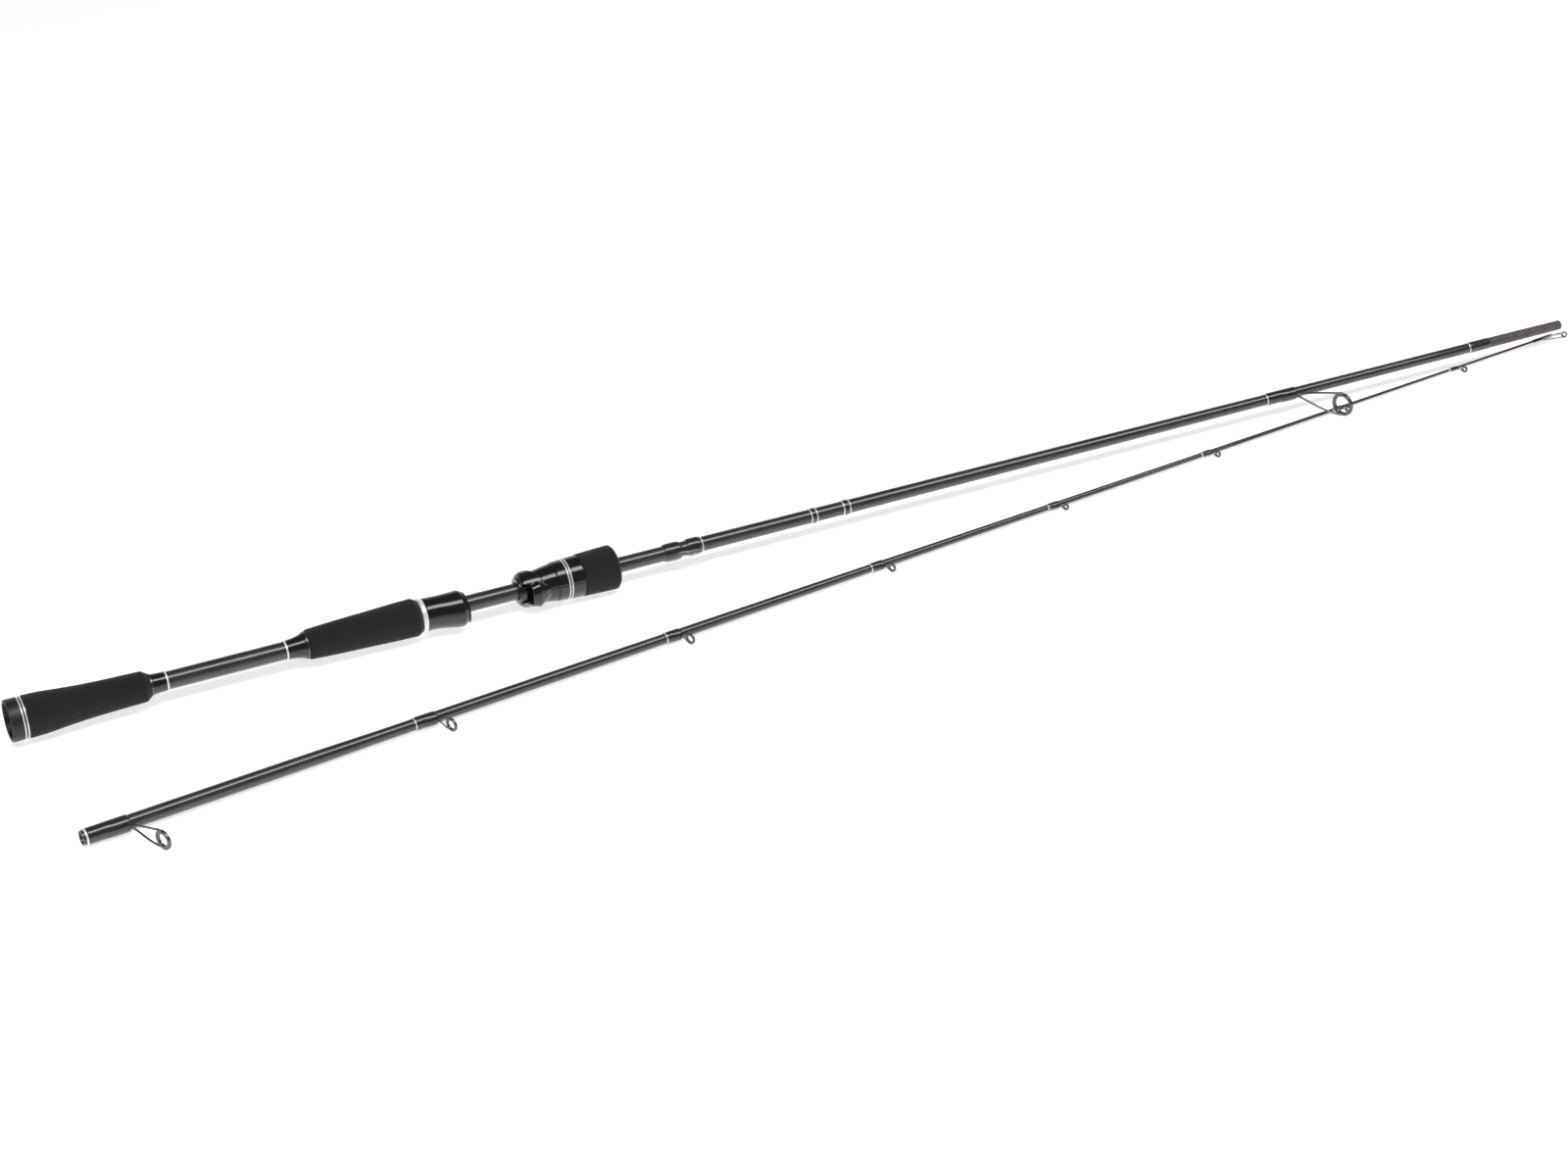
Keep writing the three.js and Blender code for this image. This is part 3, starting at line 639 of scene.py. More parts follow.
def epoxy_hump(taper, start, end, build, seed, foot=None, edge=2.2, rows=64, count=96):
    """Thread wrap on a blank. Its height over the blank rises as a quarter ellipse over edge mm at each
    end, with faint waves left by the setting epoxy. foot is (rear x, extra height, half width in
    degrees) of a guide's foot under it: a ridge on the guides' side that runs out at the rear."""
    x = np.linspace(start, end, rows)[:, None]
    angle = round_angles(count)[None, :]
    inset = np.minimum(x - start, end - x)
    rise = np.sqrt(1 - (1 - np.clip(inset / edge, 0, 1))**2)
    phase = np.random.default_rng(seed).uniform(0, 2 * np.pi, 4)
    waves = 0.03 * (np.sin(2 * angle + x / 3 + phase[0]) + 0.7 * np.sin(3 * angle - x / 2 + phase[1])
                    + 0.6 * np.sin(x / 1.7 + phase[2]))
    height = build * (1 + waves)
    if foot:
        rear, extra, half_width = foot
        aside = np.minimum(angle, 2 * np.pi - angle) / math.radians(half_width)
        height = height + extra * np.exp(-aside**2) * smooth_step(x, rear - 3, rear + 4)
    inner = monotone(taper, x) + 0.03
    outer = inner + height * rise
    outer_grid = polar(x, outer, angle)
    inner_grid = polar(x[1:-1], inner[1:-1], angle)[::-1]
    return np.concatenate([outer_grid, inner_grid]), "loop"


def trim_turns(taper, start, turns, lift, pitch=0.34, count=96):
    """Turns of silver thread side by side: half-round ridges one pitch wide, lift mm above the blank."""
    x = start + np.linspace(0, turns * pitch, turns * 8 + 1)
    ridge = np.abs(np.sin(np.pi * (x - start) / pitch)) ** 0.6
    base = monotone(taper, x)
    outer = np.stack([x, base + lift + 0.5 * pitch * ridge], -1)
    inner = np.stack([x, base + 0.02], -1)[::-1]
    return turned(np.concatenate([outer, inner]), count)


# Guides -----------------------------------------------------------------------------------------------

def leaning(grid, at, out, lean):
    """Grid made round the origin's X axis, leaned towards the tip and moved to a ring's centre."""
    a = math.radians(lean)
    lean_turn = np.array([[math.cos(a), -math.sin(a), 0], [math.sin(a), math.cos(a), 0], [0, 0, 1]])
    return grid @ lean_turn.T + (at, -out, 0)


def ring_wall(guide):
    return 0.4 + 0.05 * guide["ring"]


def ring_half(guide):
    return 0.4 + 0.07 * guide["ring"]


def foot_of(taper, guide):
    """Where a guide's wrap ends, its foot's length and thickness, and the height of its inner face."""
    wrap_end = guide["at"] - guide["run"]
    length = 0.5 * guide["wrap"]
    return wrap_end, length, 0.7 * guide["wire"], monotone(taper, np.array([wrap_end - length]))[0] + 0.2


def frame_shells(taper, guide):
    """Ring of pressed strip with rolled edges, two legs swept from the foot to its sides, and the foot:
    a flat tongue that thins out under the wrap."""
    ring, wire, run = guide["ring"], guide["wire"], guide["run"]
    half, bore = ring_half(guide), ring - ring_wall(guide)
    corners = [(-half, bore, 0.1), (-half, ring, 0.35), (half, ring, 0.35), (half, bore, 0.1)]
    rim, ends = turned(outline(corners), 80)
    shells = [(leaning(rim, guide["at"], guide["out"], RING_LEAN), ends)]
    wrap_end, length, thick, inner = foot_of(taper, guide)
    lean, spread = math.radians(RING_LEAN), math.radians(guide["spread"])
    reach = bore + 1.05 * wire
    inward = reach * math.cos(spread)
    t = np.linspace(0, 1, 44)
    for side in (-1, 1):
        root = np.array([wrap_end + 0.35 - wire, -(inner + 0.9 * wire), side * 0.75 * wire])
        joint = np.array([guide["at"] - inward * math.sin(lean), -(guide["out"] - inward * math.cos(lean)),
                          side * reach * math.sin(spread)])
        rise = joint - root
        leaving = root + (0.2 * run + 0.5 + wire, 0.12 * rise[1], 0.25 * rise[2])
        path = bezier([root, leaving, root + rise * (0.5, 0.66, 0.88), joint], len(t))
        size = wire * (1 + 0.22 * smooth_step(t, 0.8, 1.0) + 0.12 * smooth_step(-t, -0.12, 0))
        shells.append(tube(path, size, up=(0, 1, 0.2), flat=0.92))
    x = np.linspace(wrap_end - length, wrap_end + 1.2 + wire, 30)
    thin = 0.25 + 0.75 * smooth_step(x, wrap_end - length, wrap_end - 0.3 * length)
    tip_out = np.sqrt(np.clip(1 - smooth_step(x, wrap_end, x[-1] + 0.1)**2, 0.03, 1))
    angle = round_angles(20)
    wide = np.sign(np.cos(angle)) * np.abs(np.cos(angle))**0.6
    tall = np.sign(np.sin(angle)) * np.abs(np.sin(angle))**0.6
    y = -(inner + 0.5 * thick * thin[:, None] * (1 + tall[None, :]) * (0.4 + 0.6 * tip_out[:, None]))
    z = 1.4 * wire * (0.5 + 0.5 * thin)[:, None] * wide[None, :] * tip_out[:, None]
    shells.append((np.stack(np.broadcast_arrays(x[:, None], y, z), -1), "caps"))
    return shells


def insert_shell(ring, wall, half, depth, at, out, lean):
    """Ceramic ring: flat outside, with its bore a half ellipse as deep as depth, and softened rims."""
    outer = ring - wall - 0.12
    t = np.linspace(0, np.pi, 17)
    bore_radius = outer - depth * (0.35 + 0.65 * np.sin(t))
    bore = np.stack([half * np.cos(t), bore_radius, np.zeros(17)], -1)
    shape = outline([(-half, outer, 0.1), (half, outer, 0.1)], bore)
    grid, ends = turned(shape, 80)
    return leaning(grid, at, out, lean), ends


# Handle -----------------------------------------------------------------------------------------------

def lathed(node, shape, finish, body="butt_section", open_ends=False, sharp=33):
    """Piece of the butt section turned from an outline, in place of the CAD node of the same name."""
    shells = [turned(shape, open_ends=open_ends)]
    make_piece("rod_" + node, butt(), shells, body, finish, [node], sharp)


def sleeve(stations, bore, ends_fillet, count=48):
    """Outline of a sleeve whose outside runs smoothly through the stations."""
    outside = curve(stations, count)
    outside[0, 2] = outside[-1, 2] = ends_fillet
    return outline([(stations[0][0], bore, 0)], outside, [(stations[-1][0], bore, 0)])


HOOD_END = 346.2
NOTCH_X = 328.2  # the front hood's mouth is notched back to here on the guides' side
POCKET_END = 336.0  # where its foot pocket ends
HOOD_SAG = 2.6  # how far the rear hood's mouth lies off the blank's axis
REAR_STOP = 275.0  # where the rear hood's foot pocket ends


def signed_turn(angle):
    """The angle brought to between minus and plus half a turn, so that 0 faces the guides."""
    return (angle + np.pi) % (2 * np.pi) - np.pi


def window(turn, low, high, ease=2.5):
    """1 between two angles in degrees and 0 outside them, easing over ease degrees."""
    half = math.radians(ease) / 2
    low, high = math.radians(low), math.radians(high)
    return smooth_step(turn, low - half, low + half) * (1 - smooth_step(turn, high - half, high + half))


def boss_radius(x, angle):
    """Distance from the rod's axis to the far side of the foot boss, in the direction of the angle.

    The boss is an ellipse 0.72 as deep as it is wide, centred 8.9 mm out on the guides' side, whose
    half width follows x. Where the direction misses it the distance is nothing."""
    width = np.interp(x - 329.6, [-7.4, -6.9, -5.9, -3.0, 2.9, 3.5, 4.2, 8.4, 12, 13.5],
                      [3.6, 4.8, 5.8, 6.8, 8.75, 8.85, 8.6, 6.1, 3.2, 0.8])
    deep, centre = 0.72 * width, 8.9
    c, s = np.cos(angle), np.sin(angle)
    a = (c / deep)**2 + (s / width)**2
    b = centre * c / deep**2
    inside = b**2 - a * ((centre / deep)**2 - 1)
    return np.where((inside > 0) & (c > 0), (b + np.sqrt(np.maximum(inside, 0))) / a, 0)


def hood_outside(x, angle):
    """Outer radius of the front hood: a body that widens towards the nut, a collar whose front edge
    runs diagonally across the hood, and the foot boss, filleted together."""
    body = monotone([(318, 8.6), (324, 9.3), (331, 10.0), (336, 10.6), (341, 11.4), (346.3, 12.15)], x)
    front = 333.0 + 0.53 * 11.5 * np.cos(angle)
    collar = monotone([(318, 9.2), (323.0, 9.8), (324.6, 11.0), (327, 11.6), (346.3, 11.9)], x)
    collar = collar - 4 * smooth_step(x - front, -0.7, 1.4)
    return soft_max(body, collar, boss_radius(x, angle), blend=0.14)


def hood_mouth(angle):
    """Where the hood's rim lies along the rod: cut back on the guides' side to admit a foot, between
    -32 and 48 degrees."""
    return 323.1 + (NOTCH_X - 323.1) * window(signed_turn(angle), -32, 48, ease=7)


def front_hood_grid(rows=130, count=288):
    """Hood as a shell: out along its outside from the nut to the rim, round a half-circle rim, and
    back along its bore, which widens into the foot pocket on the guides' side."""
    angle = round_angles(count)[None, :]
    mouth = hood_mouth(angle)
    t = np.linspace(0, 1, rows)[:, None]
    in_pocket = window(signed_turn(angle), -28, 40)
    rim = 0.5
    edge = mouth + rim
    x_out = HOOD_END - 0.25 + (edge - HOOD_END + 0.25) * t
    outside = hood_outside(x_out, angle)
    wall = 1.3

    def inside(x):
        plain = 8.9 - 0.7 * smooth_step(x, 335, 335.6)
        widened = np.clip(hood_outside(x, angle) - wall, 8.95, 12.6)
        depth = in_pocket * (1 - smooth_step(x, POCKET_END - 0.6, POCKET_END))
        return plain + (widened - plain) * depth

    x_in = edge + (HOOD_END - 6.7 - edge) * t
    bore = inside(x_in)
    half = np.linspace(0, np.pi, 11)[1:-1, None]
    rim_out, rim_in = outside[-1:], bore[:1]
    rim_x = edge - rim * np.sin(half)
    rim_r = (rim_out + rim_in) / 2 + (rim_out - rim_in) / 2 * np.cos(half)
    end = HOOD_END
    back = np.array([(end - 5.9, 8.2), (end - 5.9, 11.0), (end - 3.5, 11.0), (end - 3.5, 10.3), (end, 10.3),
                     (end, 12.0)])
    x = np.concatenate([x_out, rim_x * np.ones_like(angle), x_in, back[:, :1] * np.ones_like(angle)])
    radius = np.concatenate([outside, rim_r, bore, back[:, 1:] * np.ones_like(angle)])
    return polar(x, radius, angle), "loop"


def rear_hood_grid(count=192):
    """Rear hood: a barrel with a chamfered front corner, which sags towards the guides' side as it
    runs forward. Its bore stays on the axis and widens into the foot pocket, 40 degrees either way."""
    angle = round_angles(count)[None, :]
    waist = curve([(261.6, 10.45), (264.5, 10.35), (269, 10.45), (275, 11.0), (280, 11.5),
                   (282.6, 11.65)], 40)
    waist[-1, 2] = 0.9
    outer = outline([(260.0, 9.9, 0.3), (260.8, 10.45, 0.5)], waist,
                    [(285.6, 10.2, 0.5), (286.5, 9.7, 0.3)])
    inner = outline([(286.5, 9.0, 0.2), (285.4, 7.7, 0.3), (REAR_STOP, 7.6, 0), (262.6, 7.6, 0),
                     (262.6, 5.7, 0), (260.0, 5.7, 0)])
    x, radius = outer[:, :1], outer[:, 1:] * np.ones_like(angle)
    outside = polar(x, radius, angle)
    outside[..., 1] -= HOOD_SAG * smooth_step(outside[..., 0], 262, 283)
    pocket = window(signed_turn(angle), -42, 42, ease=4)
    x, radius = inner[:, :1], inner[:, 1:] * np.ones_like(angle)
    widened = radius + 2.9 * pocket * (radius > 7) * smooth_step(x, REAR_STOP - 0.2, REAR_STOP + 0.6)
    bore = polar(x, np.minimum(widened, 10.6), angle)
    bore[..., 1] -= HOOD_SAG * smooth_step(bore[..., 0], 285.4, 286.4) * (radius > 8.5)
    return np.concatenate([outside, bore]), "loop"


def liner_grid(count=192):
    """Liner in the hood's mouth: a rounded collar whose outside sinks to a slit on the guides' side,
    where the reel foot's end goes in."""
    shape = outline([(321.7, 6.1, 0.5), (321.7, 8.2, 0.7), (322.5, 8.65, 0.4), (325.5, 8.65, 0.2),
                     (326.1, 8.6, 0), (334.7, 8.6, 0.2), (334.7, 5.8, 0), (322.2, 5.8, 0.3)])
    angle = round_angles(count)[None, :]
    slit = window(signed_turn(angle), -34, 34)
    x, radius = shape[:, :1], shape[:, 1:] * np.ones_like(angle)
    sunk = radius - np.maximum(radius - 6.1, 0) * slit * (x > 325.7)
    return polar(x, sunk, angle), "loop"


def thread_grid(start, end, crest, bore, pitch=2.0, count=48):
    """Threaded tube: its outside falls 0.45 mm from the crest as a triangle wave of length and turn."""
    x = np.linspace(start, end, int((end - start) / pitch * 8))[:, None]
    angle = round_angles(count)[None, :]
    phase = (x / pitch - angle / (2 * np.pi)) % 1
    outer = crest - 0.9 * np.minimum(np.abs(phase - 0.5), 0.5)
    return np.concatenate([polar(x, outer, angle), polar(x[::-1], bore, angle)]), "loop"


def blank_grid(taper, stops, bore, count=64):
    """Tapered tube: its outside follows the stations and its bore is an outline of (x, radius)."""
    x = np.unique(np.concatenate([np.linspace(taper[0][0], taper[-1][0], 220), stops]))
    outside = np.stack([x, monotone(taper, x)], -1)
    return turned(np.concatenate([outside, np.array(bore, float)]), count)


# Operators --------------------------------------------------------------------------------------------

class ROD_OT_stage(bpy.types.Operator):
    """Camera, paper floor and soft studio lights"""

    bl_idname = "rod.stage"
    bl_label = "Stage"

    def execute(self, context):
        scene = context.scene
        origin = butt().origin
        camera = bpy.data.objects.new("camera", bpy.data.cameras.new("camera"))
        camera.data.lens = sizes().lens
        camera.data.clip_end = 50
        camera.location = origin + (-0.25156, -1.52368, 1.0143)
        camera.rotation_euler = (math.radians(58), 0, math.radians(-26.537))
        scene.collection.objects.link(camera)
        scene.camera = camera

        floor_mesh = bpy.data.meshes.new("floor")
        side = 12.0  # half the floor's width, far past the picture's edges
        floor_mesh.from_pydata([(-side, -side, 0), (side, -side, 0), (side, side, 0), (-side, side, 0)], [],
                               [(0, 1, 2, 3)])
        floor_mesh.materials.append(material("floor"))
        floor = bpy.data.objects.new("floor", floor_mesh)
        scene.collection.objects.link(floor)

        lamps = (
            # name, place, aimed at, width, length, watts
            ("overhead", (0, -0.5, 1.7), (0, 0, 0), 0.6, 3.4, 42),
        )
        for name, place, aim, width, length, watts in lamps:
            light = bpy.data.lights.new(name, "AREA")
            light.shape = "RECTANGLE"
            light.size, light.size_y = length, width
            light.energy = watts
            lamp = bpy.data.objects.new(name, light)
            lamp.location = place
            direction = np.array(aim, float) - np.array(place)
            lamp.rotation_euler = (math.atan2(math.hypot(direction[0], direction[1]), -direction[2]), 0,
                                   math.atan2(-direction[0], direction[1]))
            scene.collection.objects.link(lamp)

        world = bpy.data.worlds.new("studio")
        world.use_nodes = True
        tree = world.node_tree
        tree.nodes.clear()
        ray = add(tree, "ShaderNodeTexCoord")
        # A pale backdrop low behind the rod, and near darkness elsewhere, keep the blacks deep.
        split = add(tree, "ShaderNodeSeparateXYZ", {0: ray.outputs["Generated"]})
        low = ramp(tree, split.outputs[2], 1.0, 0.0, 0.12, 0.6)
        behind = ramp(tree, split.outputs[1], 0.03, 0.9, 0.0, 0.8)
        shade = maths(tree, "ADD", maths(tree, "MULTIPLY", low, behind), 0.03)
        light = add(tree, "ShaderNodeBackground", {"Color": (1, 1, 1, 1), "Strength": shade})
        add(tree, "ShaderNodeOutputWorld", {"Surface": light.outputs[0]})
        scene.world = world
        scene.view_settings.view_transform = "Standard"
        return {"FINISHED"}


class ROD_OT_blanks(bpy.types.Operator):
    """Carbon blanks of the butt section, with its bare male ferrule, and of the tip section"""

    bl_idname = "rod.blanks"
    bl_label = "Blanks"

    def execute(self, context):
        bore = [(x, radius - BLANK_WALL) for x, radius in reversed(BUTT_TAPER)]
        make_piece("rod_butt_blank", butt(), [blank_grid(BUTT_TAPER, [FERRULE_X], bore)], "butt_section",
                   "carbon", ["butt_blank"], second_finish=("ferrule", FERRULE_X))
        end = TIP_TAPER[-1][0]
        bore = [(end + 0.4, 0.45), (end + 0.5, 0), (800, 0), (195, 2.7), (SOCKET_DEPTH, 3.3),
                (SOCKET_DEPTH, SOCKET_BORE), (0.4, SOCKET_BORE), (0, SOCKET_BORE + 0.25)]
        grid, ends = blank_grid(TIP_TAPER, [0], bore)
        make_piece("rod_tip_blank", tip(), [(grid, ends)], "tip_section", "carbon",
                   ["tip_blank"])
        return {"FINISHED"}


class ROD_OT_butt_cap(bpy.types.Operator):
    """Cup-shaped butt cap with its plug"""

    bl_idname = "rod.butt_cap"
    bl_label = "Butt cap"

    def execute(self, context):
        shape = outline([(5.5, 0, 0), (5.5, 10.9, 0.9), (0.7, 11.2, 0.3), (0, 11.6, 0.3), (0, 12.6, 0.4),
                         (0.5, 12.95, 0.4), (6.95, 12.95, 0.3), (7.0, 12.5, 0), (10.7, 12.5, 0),
                         (10.7, 5.95, 0), (7.2, 5.95, 0), (7.2, 4.25, 0), (16, 4.25, 0.5), (17, 0, 0)])
        lathed("butt_cap", shape, "cap", open_ends=True)
        return {"FINISHED"}


class ROD_OT_trim_rings(bpy.types.Operator):
    """Bright rings on the handle and the socket"""

    bl_idname = "rod.trim_rings"
    bl_label = "Trim rings"

    def execute(self, context):
        section = butt()
        bores = {"butt_ring_rear": 12.6, "butt_ring_front": 12.6, "butt_cone_ring": 5.72,
                 "rear_cone_ring": 5.72, "seat_ring": 5.7}
        for node, bore in bores.items():
            start, end, radius = section.span(node)
            make_piece("rod_" + node, section, [band(start, end, radius, bore, 0.3 * (end - start))],
                       "butt_section", "bright", [node])
        for node in ("nut_ring_rear", "nut_ring_front"):
            start, end, radius = section.span(node)
            make_piece("rod_" + node, section, [band(start, end, radius, 12.6, 0.3)], "foregrip_nut",
                       "bright", [node])
        start, end, radius = tip().span("socket_ring")
        make_piece("rod_socket_ring", tip(), [band(start, end, radius, 4.55, 0.35)], "tip_section",
                   "bright", ["socket_ring"])
        return {"FINISHED"}


class ROD_OT_grips(bpy.types.Operator):
    """Butt grip, rear grip and foregrip of EVA foam"""

    bl_idname = "rod.grips"
    bl_label = "Grips"

    def execute(self, context):
        waist = curve([(10.8, 13.1), (20, 12.8), (32, 11.75), (45, 10.75), (58, 10.15), (70, 9.8),
                       (82.1, 9.5)], 60)
        waist[0, 2], waist[-1, 2] = 0.4, 0.9
        lathed("butt_grip", outline([(10.8, 5.95, 0)], waist, [(85.3, 7.3, 0.4), (85.3, 5.95, 0)]),
               "foam")
        swell = curve([(185.3, 9.4), (200, 10.2), (225, 11.1), (245, 11.85), (253.6, 12.0)], 60)
        swell[-1, 2] = 0.7
        lathed("rear_grip", outline([(183.9, 5.95, 0), (183.9, 8.6, 0.3)], swell,
                                    [(256.3, 10.3, 1.4), (256.3, 5.95, 0)]), "foam")
        fore = curve([(364.5, 13.6), (374, 13.95), (383.5, 14.25), (387.1, 14.3)], 40)
        fore[0, 2], fore[-1, 2] = 0.4, 1.0
        front = [(389, 12.4, 1.3), (389, 8.3, 0.4), (386.8, 8.3, 0), (386.8, 10.8, 0)]
        lathed("foregrip", outline([(364.5, 10.8, 0)], fore, front), "foam",
               body="foregrip_nut")
        return {"FINISHED"}


class ROD_OT_cones(bpy.types.Operator):
    """Gloss cones at the ends of the bare blank, and the winding checks against the grips"""

    bl_idname = "rod.cones"
    bl_label = "Cones and winding checks"

    def execute(self, context):
        lathed("butt_cone", sleeve([(86.7, 6.6), (89, 6.3), (92, 6.1), (95, 5.98)], 5.72, 0.3, 24),
               "seat")
        flare = [(171.2, 6.0), (176, 6.45), (179.5, 7.2), (181.5, 8.0), (182.5, 8.5)]
        lathed("rear_cone", sleeve(flare, 5.72, 0.3, 32), "seat")
        for node in ("butt_winding_check", "rear_winding_check"):
            start, end, radius = butt().span(node)
            make_piece("rod_" + node, butt(), [band(start, end, radius, 5.95, 0.35)], "butt_section",
                       "check", [node])
        return {"FINISHED"}


class ROD_OT_rear_hood(bpy.types.Operator):
    """Fixed rear hood of the reel seat and the arbor that it is bonded on"""

    bl_idname = "rod.rear_hood"
    bl_label = "Rear hood"

    def execute(self, context):
        make_piece("rod_rear_hood", butt(), [rear_hood_grid()], "butt_section", "seat",
                   ["rear_hood"], sharp=40)
        lathed("seat_arbor", outline([(263.0, 5.72, 0.2), (263.0, 7.25, 0.4), (274.6, 7.25, 0.4),
                                      (274.6, 5.72, 0.2)]), "liner")
        return {"FINISHED"}


class ROD_OT_front_hood(bpy.types.Operator):
    """Sliding front hood with its foot pocket, and the soft liner in its mouth"""

    bl_idname = "rod.front_hood"
    bl_label = "Front hood"

    def execute(self, context):
        make_piece("rod_front_hood", butt(), [front_hood_grid()], "hood_carriage", "seat",
                   ["front_hood"], sharp=40)
        make_piece("rod_hood_liner", butt(), [liner_grid()], "hood_carriage", "seat",
                   ["hood_liner"])
        return {"FINISHED"}


class ROD_OT_lock_nut(bpy.types.Operator):
    """Lock nut with its grooved collar, and the threaded barrel that it runs on"""

    bl_idname = "rod.lock_nut"
    bl_label = "Lock nut and barrel"

    def execute(self, context):
        shape = outline([(340.7, 7.9, 0.1), (340.7, 10.7, 0.2), (342.3, 10.7, 0.2), (342.3, 10.0, 0),
                         (346.5, 10.0, 0), (346.5, 12.1, 0.25), (347.0, 12.6, 0.4), (352.6, 12.9, 0.2),
                         (352.6, 12.3, 0), (356.0, 12.3, 0), (356.0, 13.1, 0.25), (363.7, 13.45, 0.35),
                         (364.2, 13.2, 0.2), (364.2, 10.5, 0), (386.5, 10.5, 0.2), (386.5, 7.9, 0.2)])
        lathed("lock_nut", shape, "seat", body="foregrip_nut")
        make_piece("rod_threaded_barrel", butt(), [thread_grid(351, 387.5, 7.6, 5.68)], "butt_section",
                   "seat", ["threaded_barrel"])
        return {"FINISHED"}


class ROD_OT_handle_wraps(bpy.types.Operator):
    """Thread wraps of the keeper, the decorative bands and the ferrule"""

    bl_idname = "rod.handle_wraps"
    bl_label = "Handle wraps"

    def execute(self, context):
        wraps = (
            # node, start, end, build, edge
            ("keeper_wrap_rear", 422.5, 435, 1.05, 4.5),
            ("keeper_wrap_front", 439, 448.6, 0.95, 3.2),
            ("band_wrap_rear", 528.3, 531.1, 0.42, 1.0),
            ("band_wrap_front", 552.0, 555.4, 0.42, 1.0),
            ("ferrule_wrap", 1058.6, 1076, 0.33, 1.6),
        )
        for seed, (node, start, end, build, edge) in enumerate(wraps):
            make_piece("rod_" + node, butt(), [epoxy_hump(BUTT_TAPER, start, end, build, seed, edge=edge)],
                       "butt_section", "wrap", [node], sharp=60)
        return {"FINISHED"}


class ROD_OT_trim_threads(bpy.types.Operator):
    """Silver thread trims beside the wraps of both sections"""

    bl_idname = "rod.trim_threads"
    bl_label = "Silver trims"

    def execute(self, context):
        butt_trims = (("keeper_trim", 448.5), ("band_trim_1", 527.3), ("band_trim_2", 531.2),
                      ("band_trim_3", 551.0), ("band_trim_4", 555.5), ("stripping_trim", 883.5),
                      ("ferrule_trim", 1057.6))
        for name, start in butt_trims:
            make_piece(name, butt(), [trim_turns(BUTT_TAPER, start, 3, 0.28)], "butt_section",
                       "silver", sharp=60)
        for number, guide in enumerate(TIP_GUIDES[1:], 2):
            start = guide["at"] - guide["run"] - guide["wrap"] - 0.8
            make_piece(f"guide_{number}_trim", tip(), [trim_turns(TIP_TAPER, start, 3, 0.22, count=64)],
                       "tip_section", "silver", sharp=60)
        start = TIP_TAPER[-1][0] - TIP_TOP["tube"] - TIP_TOP["wrap"] + 0.3
        make_piece("tip_top_trim", tip(), [trim_turns(TIP_TAPER, start, 2, 0.2, count=48)], "tip_section",
                   "silver", sharp=60)
        return {"FINISHED"}


class ROD_OT_hook_keeper(bpy.types.Operator):
    """Hook keeper: a bent wire loop held by the keeper wraps"""

    bl_idname = "rod.hook_keeper"
    bl_label = "Hook keeper"

    def execute(self, context):
        low, high = 5.5, 6.95
        half = [(430, low, 1.2), (434.5, low, 1.2), (437.6, high - 0.2, 1.2), (441, high, 1.2),
                (444.5, high + 0.15, 1.1), (446.6, high + 0.2, 0.7)]
        loop = half + [(447.3, high + 0.2, 0)] + [(x, r, -z) for x, r, z in reversed(half)]
        path = smooth_path([(x, -r, z) for x, r, z in loop], 90)
        make_piece("rod_hook_keeper", butt(), [tube(path, 0.4, up=(0, 1, 0.001))], "butt_section",
                   "steel", ["hook_keeper"])
        return {"FINISHED"}


class ROD_OT_guides(bpy.types.Operator):
    """Stripping guide and the tip section's guides: frame, ceramic insert and thread wrap of each"""

    bl_idname = "rod.guides"
    bl_label = "Guides"

    def build(self, section, body, taper, guide, nodes, seed, wrap_start=None):
        """One guide. nodes are its wrap's, its frame's and its insert's."""
        wrap_node, frame_node, insert_node = nodes
        wrap_end, length, thick, _ = foot_of(taper, guide)
        start = wrap_end - guide["wrap"] if wrap_start is None else wrap_start
        foot = (wrap_end - length, thick + 0.35, 26 + 60 * guide["wire"])
        hump = epoxy_hump(taper, start, wrap_end, 0.3 + 0.3 * guide["wire"], seed, foot, edge=1.2)
        make_piece("rod_" + wrap_node, section, [hump], body, "wrap", [wrap_node], sharp=60)
        make_piece("rod_" + frame_node, section, frame_shells(taper, guide), body, "frame",
                   [frame_node], sharp=45)
        depth = guide.get("ceramic", 0.5 + 0.14 * guide["ring"])
        insert = insert_shell(guide["ring"], ring_wall(guide), ring_half(guide) + 0.12, depth,
                              guide["at"], guide["out"], RING_LEAN)
        make_piece("rod_" + insert_node, section, [insert], body, "ceramic", [insert_node],
                   sharp=50)

    def execute(self, context):
        self.build(butt(), "butt_section", BUTT_TAPER, STRIPPING,
                   ("stripping_guide_wrap", "stripping_guide_frame", "stripping_guide_insert"), 20)
        for number, guide in enumerate(TIP_GUIDES, 1):
            wrap = "socket_wrap" if number == 1 else f"guide_{number}_wrap"
            self.build(tip(), "tip_section", TIP_TAPER, guide,
                       (wrap, f"guide_{number}_frame", f"guide_{number}_insert"), 20 + number,
                       wrap_start=3 if number == 1 else None)
        return {"FINISHED"}


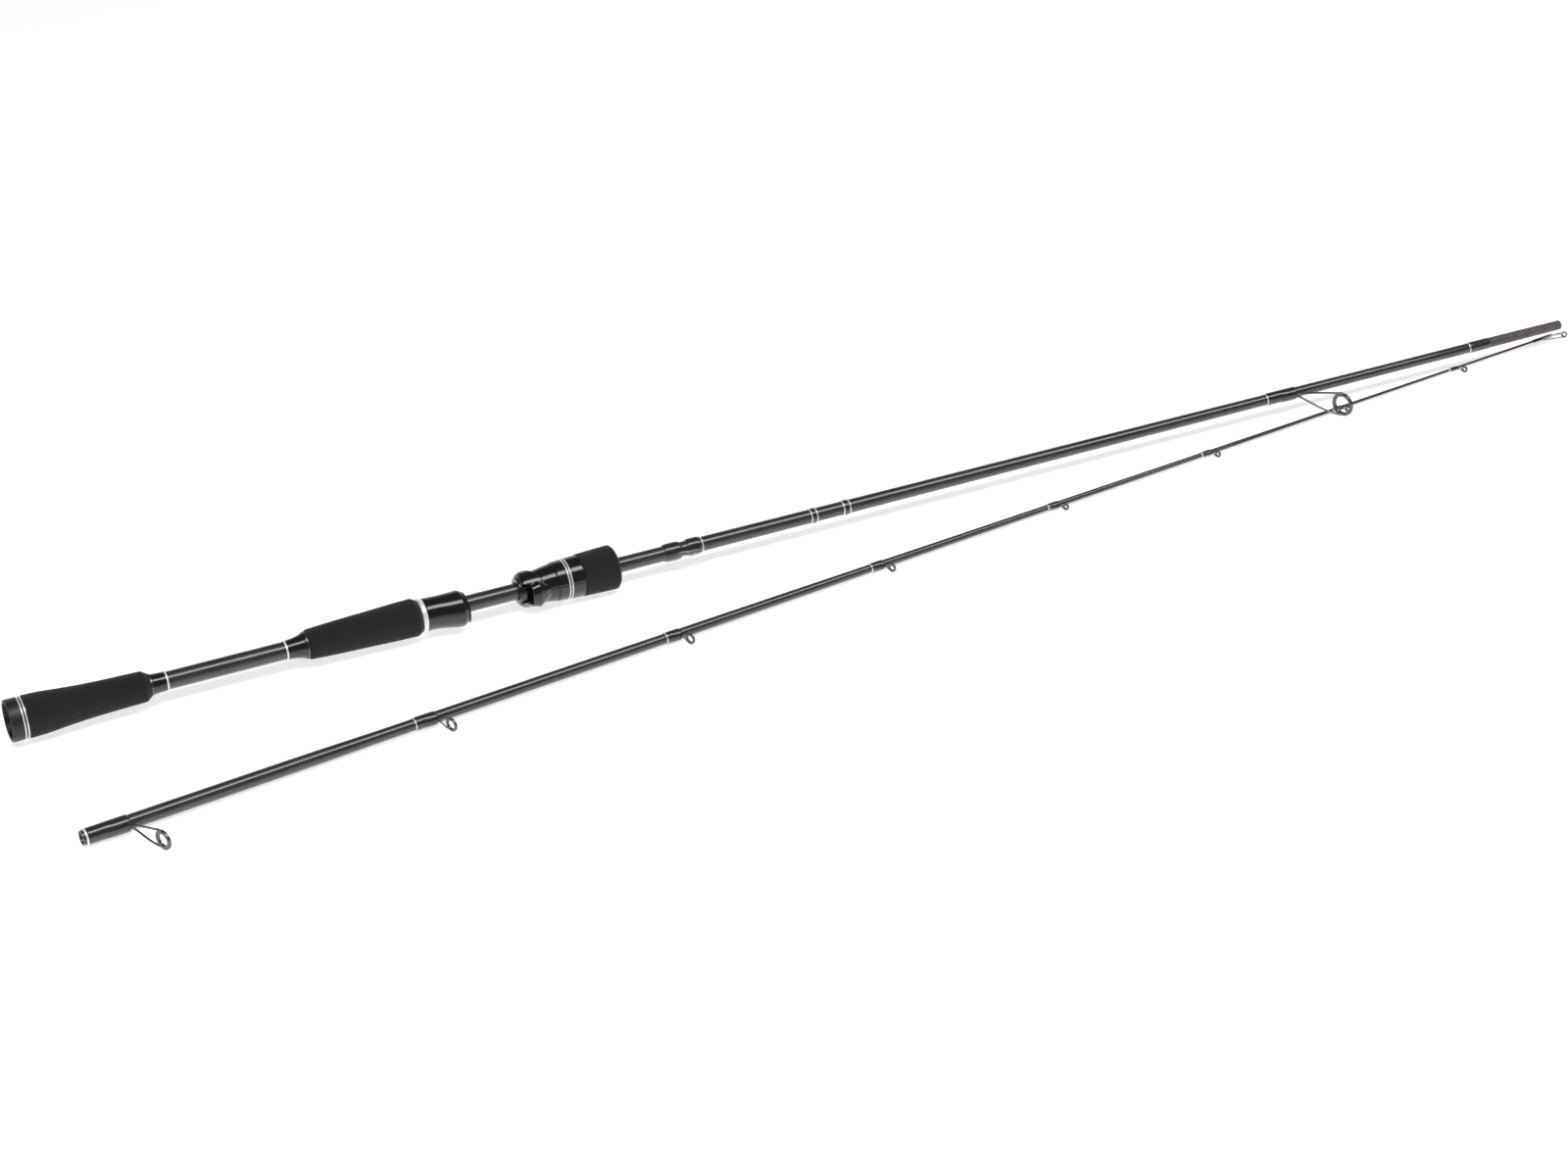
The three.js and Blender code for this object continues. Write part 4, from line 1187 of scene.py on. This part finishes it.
class ROD_OT_tip_top(bpy.types.Operator):
    """Tip-top: its tube, ring, braces and insert, and the wrap behind it"""

    bl_idname = "rod.tip_top"
    bl_label = "Tip-top"

    def execute(self, context):
        section = tip()
        at, out, ring, wire, lean = (TIP_TOP[key] for key in ("at", "out", "ring", "wire", "lean"))
        tube_length = TIP_TOP["tube"]
        end = TIP_TAPER[-1][0]
        start = end - tube_length + 1
        barrel = outline([(start, 0.96, 0), (start, 1.3, 0.15), (end + 1, 1.3, 0.4), (end + 1.6, 0, 0),
                          (end + 0.6, 0, 0), (end + 0.6, 0.96, 0)])
        shells = [turned(barrel, 48, open_ends=True)]
        rim, ends = turned(outline([(-0.55, ring - 0.5, 0.1), (-0.55, ring, 0.25), (0.55, ring, 0.25),
                                    (0.55, ring - 0.5, 0.1)]), 64)
        shells.append((leaning(rim, at, out, lean), ends))
        for side in (-1, 1):
            path = smooth_path([(start + 1, -1.15, side * 0.75),
                                (start + 0.35 * tube_length, -1.35, side * 0.95),
                                (start + 0.65 * tube_length, -1.95, side * 1.35),
                                (at - 0.3, -out, side * (ring - 0.25))], 28)
            shells.append(tube(path, wire, up=(0, 1, 0.2), count=12))
        spine = smooth_path([(end + 0.4, -0.5, 0), (end + 4, -1.3, 0),
                             (at - 1.4, -(out - ring + 0.2), 0)], 12)
        shells.append(tube(spine, wire, up=(0, 0.2, 1), count=12))
        make_piece("rod_tip_top_frame", section, shells, "tip_section", "steel",
                   ["tip_top_frame"], sharp=45)
        insert = insert_shell(ring, 0.5, 0.62, 0.6, at, out, lean)
        make_piece("rod_tip_top_insert", section, [insert], "tip_section", "ceramic",
                   ["tip_top_insert"], sharp=50)
        hump = epoxy_hump(TIP_TAPER, start - TIP_TOP["wrap"] + 0.7, start - 0.1, 0.4, 40, edge=1.0,
                          count=64)
        make_piece("rod_tip_top_wrap", section, [hump], "tip_section", "wrap",
                   ["tip_top_wrap"], sharp=60)
        return {"FINISHED"}


class ROD_PT_build(bpy.types.Panel):
    """Sidebar panel that lists the rod's settings and pieces"""

    bl_idname = "ROD_PT_build"
    bl_label = "Spinning rod"
    bl_space_type = "VIEW_3D"
    bl_region_type = "UI"
    bl_category = "Rod"

    def draw(self, context):
        column = self.layout.column()
        for name in RodSizes.__annotations__:
            column.prop(context.scene.rod_sizes, name)
        for name in RodColours.__annotations__:
            column.prop(context.scene.rod_colours, name)
        for operator in OPERATORS:
            column.operator(operator.bl_idname)


OPERATORS = (ROD_OT_stage, ROD_OT_blanks, ROD_OT_butt_cap, ROD_OT_trim_rings, ROD_OT_grips, ROD_OT_cones,
             ROD_OT_rear_hood, ROD_OT_front_hood, ROD_OT_lock_nut, ROD_OT_handle_wraps, ROD_OT_trim_threads,
             ROD_OT_hook_keeper, ROD_OT_guides, ROD_OT_tip_top)
CLASSES = (RodColours, RodSizes, *OPERATORS, ROD_PT_build)


def register():
    for item in CLASSES:
        bpy.utils.register_class(item)
    bpy.types.Scene.rod_colours = PointerProperty(type=RodColours)
    bpy.types.Scene.rod_sizes = PointerProperty(type=RodSizes)


def unregister():
    del bpy.types.Scene.rod_sizes
    del bpy.types.Scene.rod_colours
    for item in reversed(CLASSES):
        bpy.utils.unregister_class(item)


def main():
    """Builds the whole rod and its stage."""
    register()
    for operator in OPERATORS:
        group, name = operator.bl_idname.split(".")
        getattr(getattr(bpy.ops, group), name)()


if __name__ == "__main__":
    main()
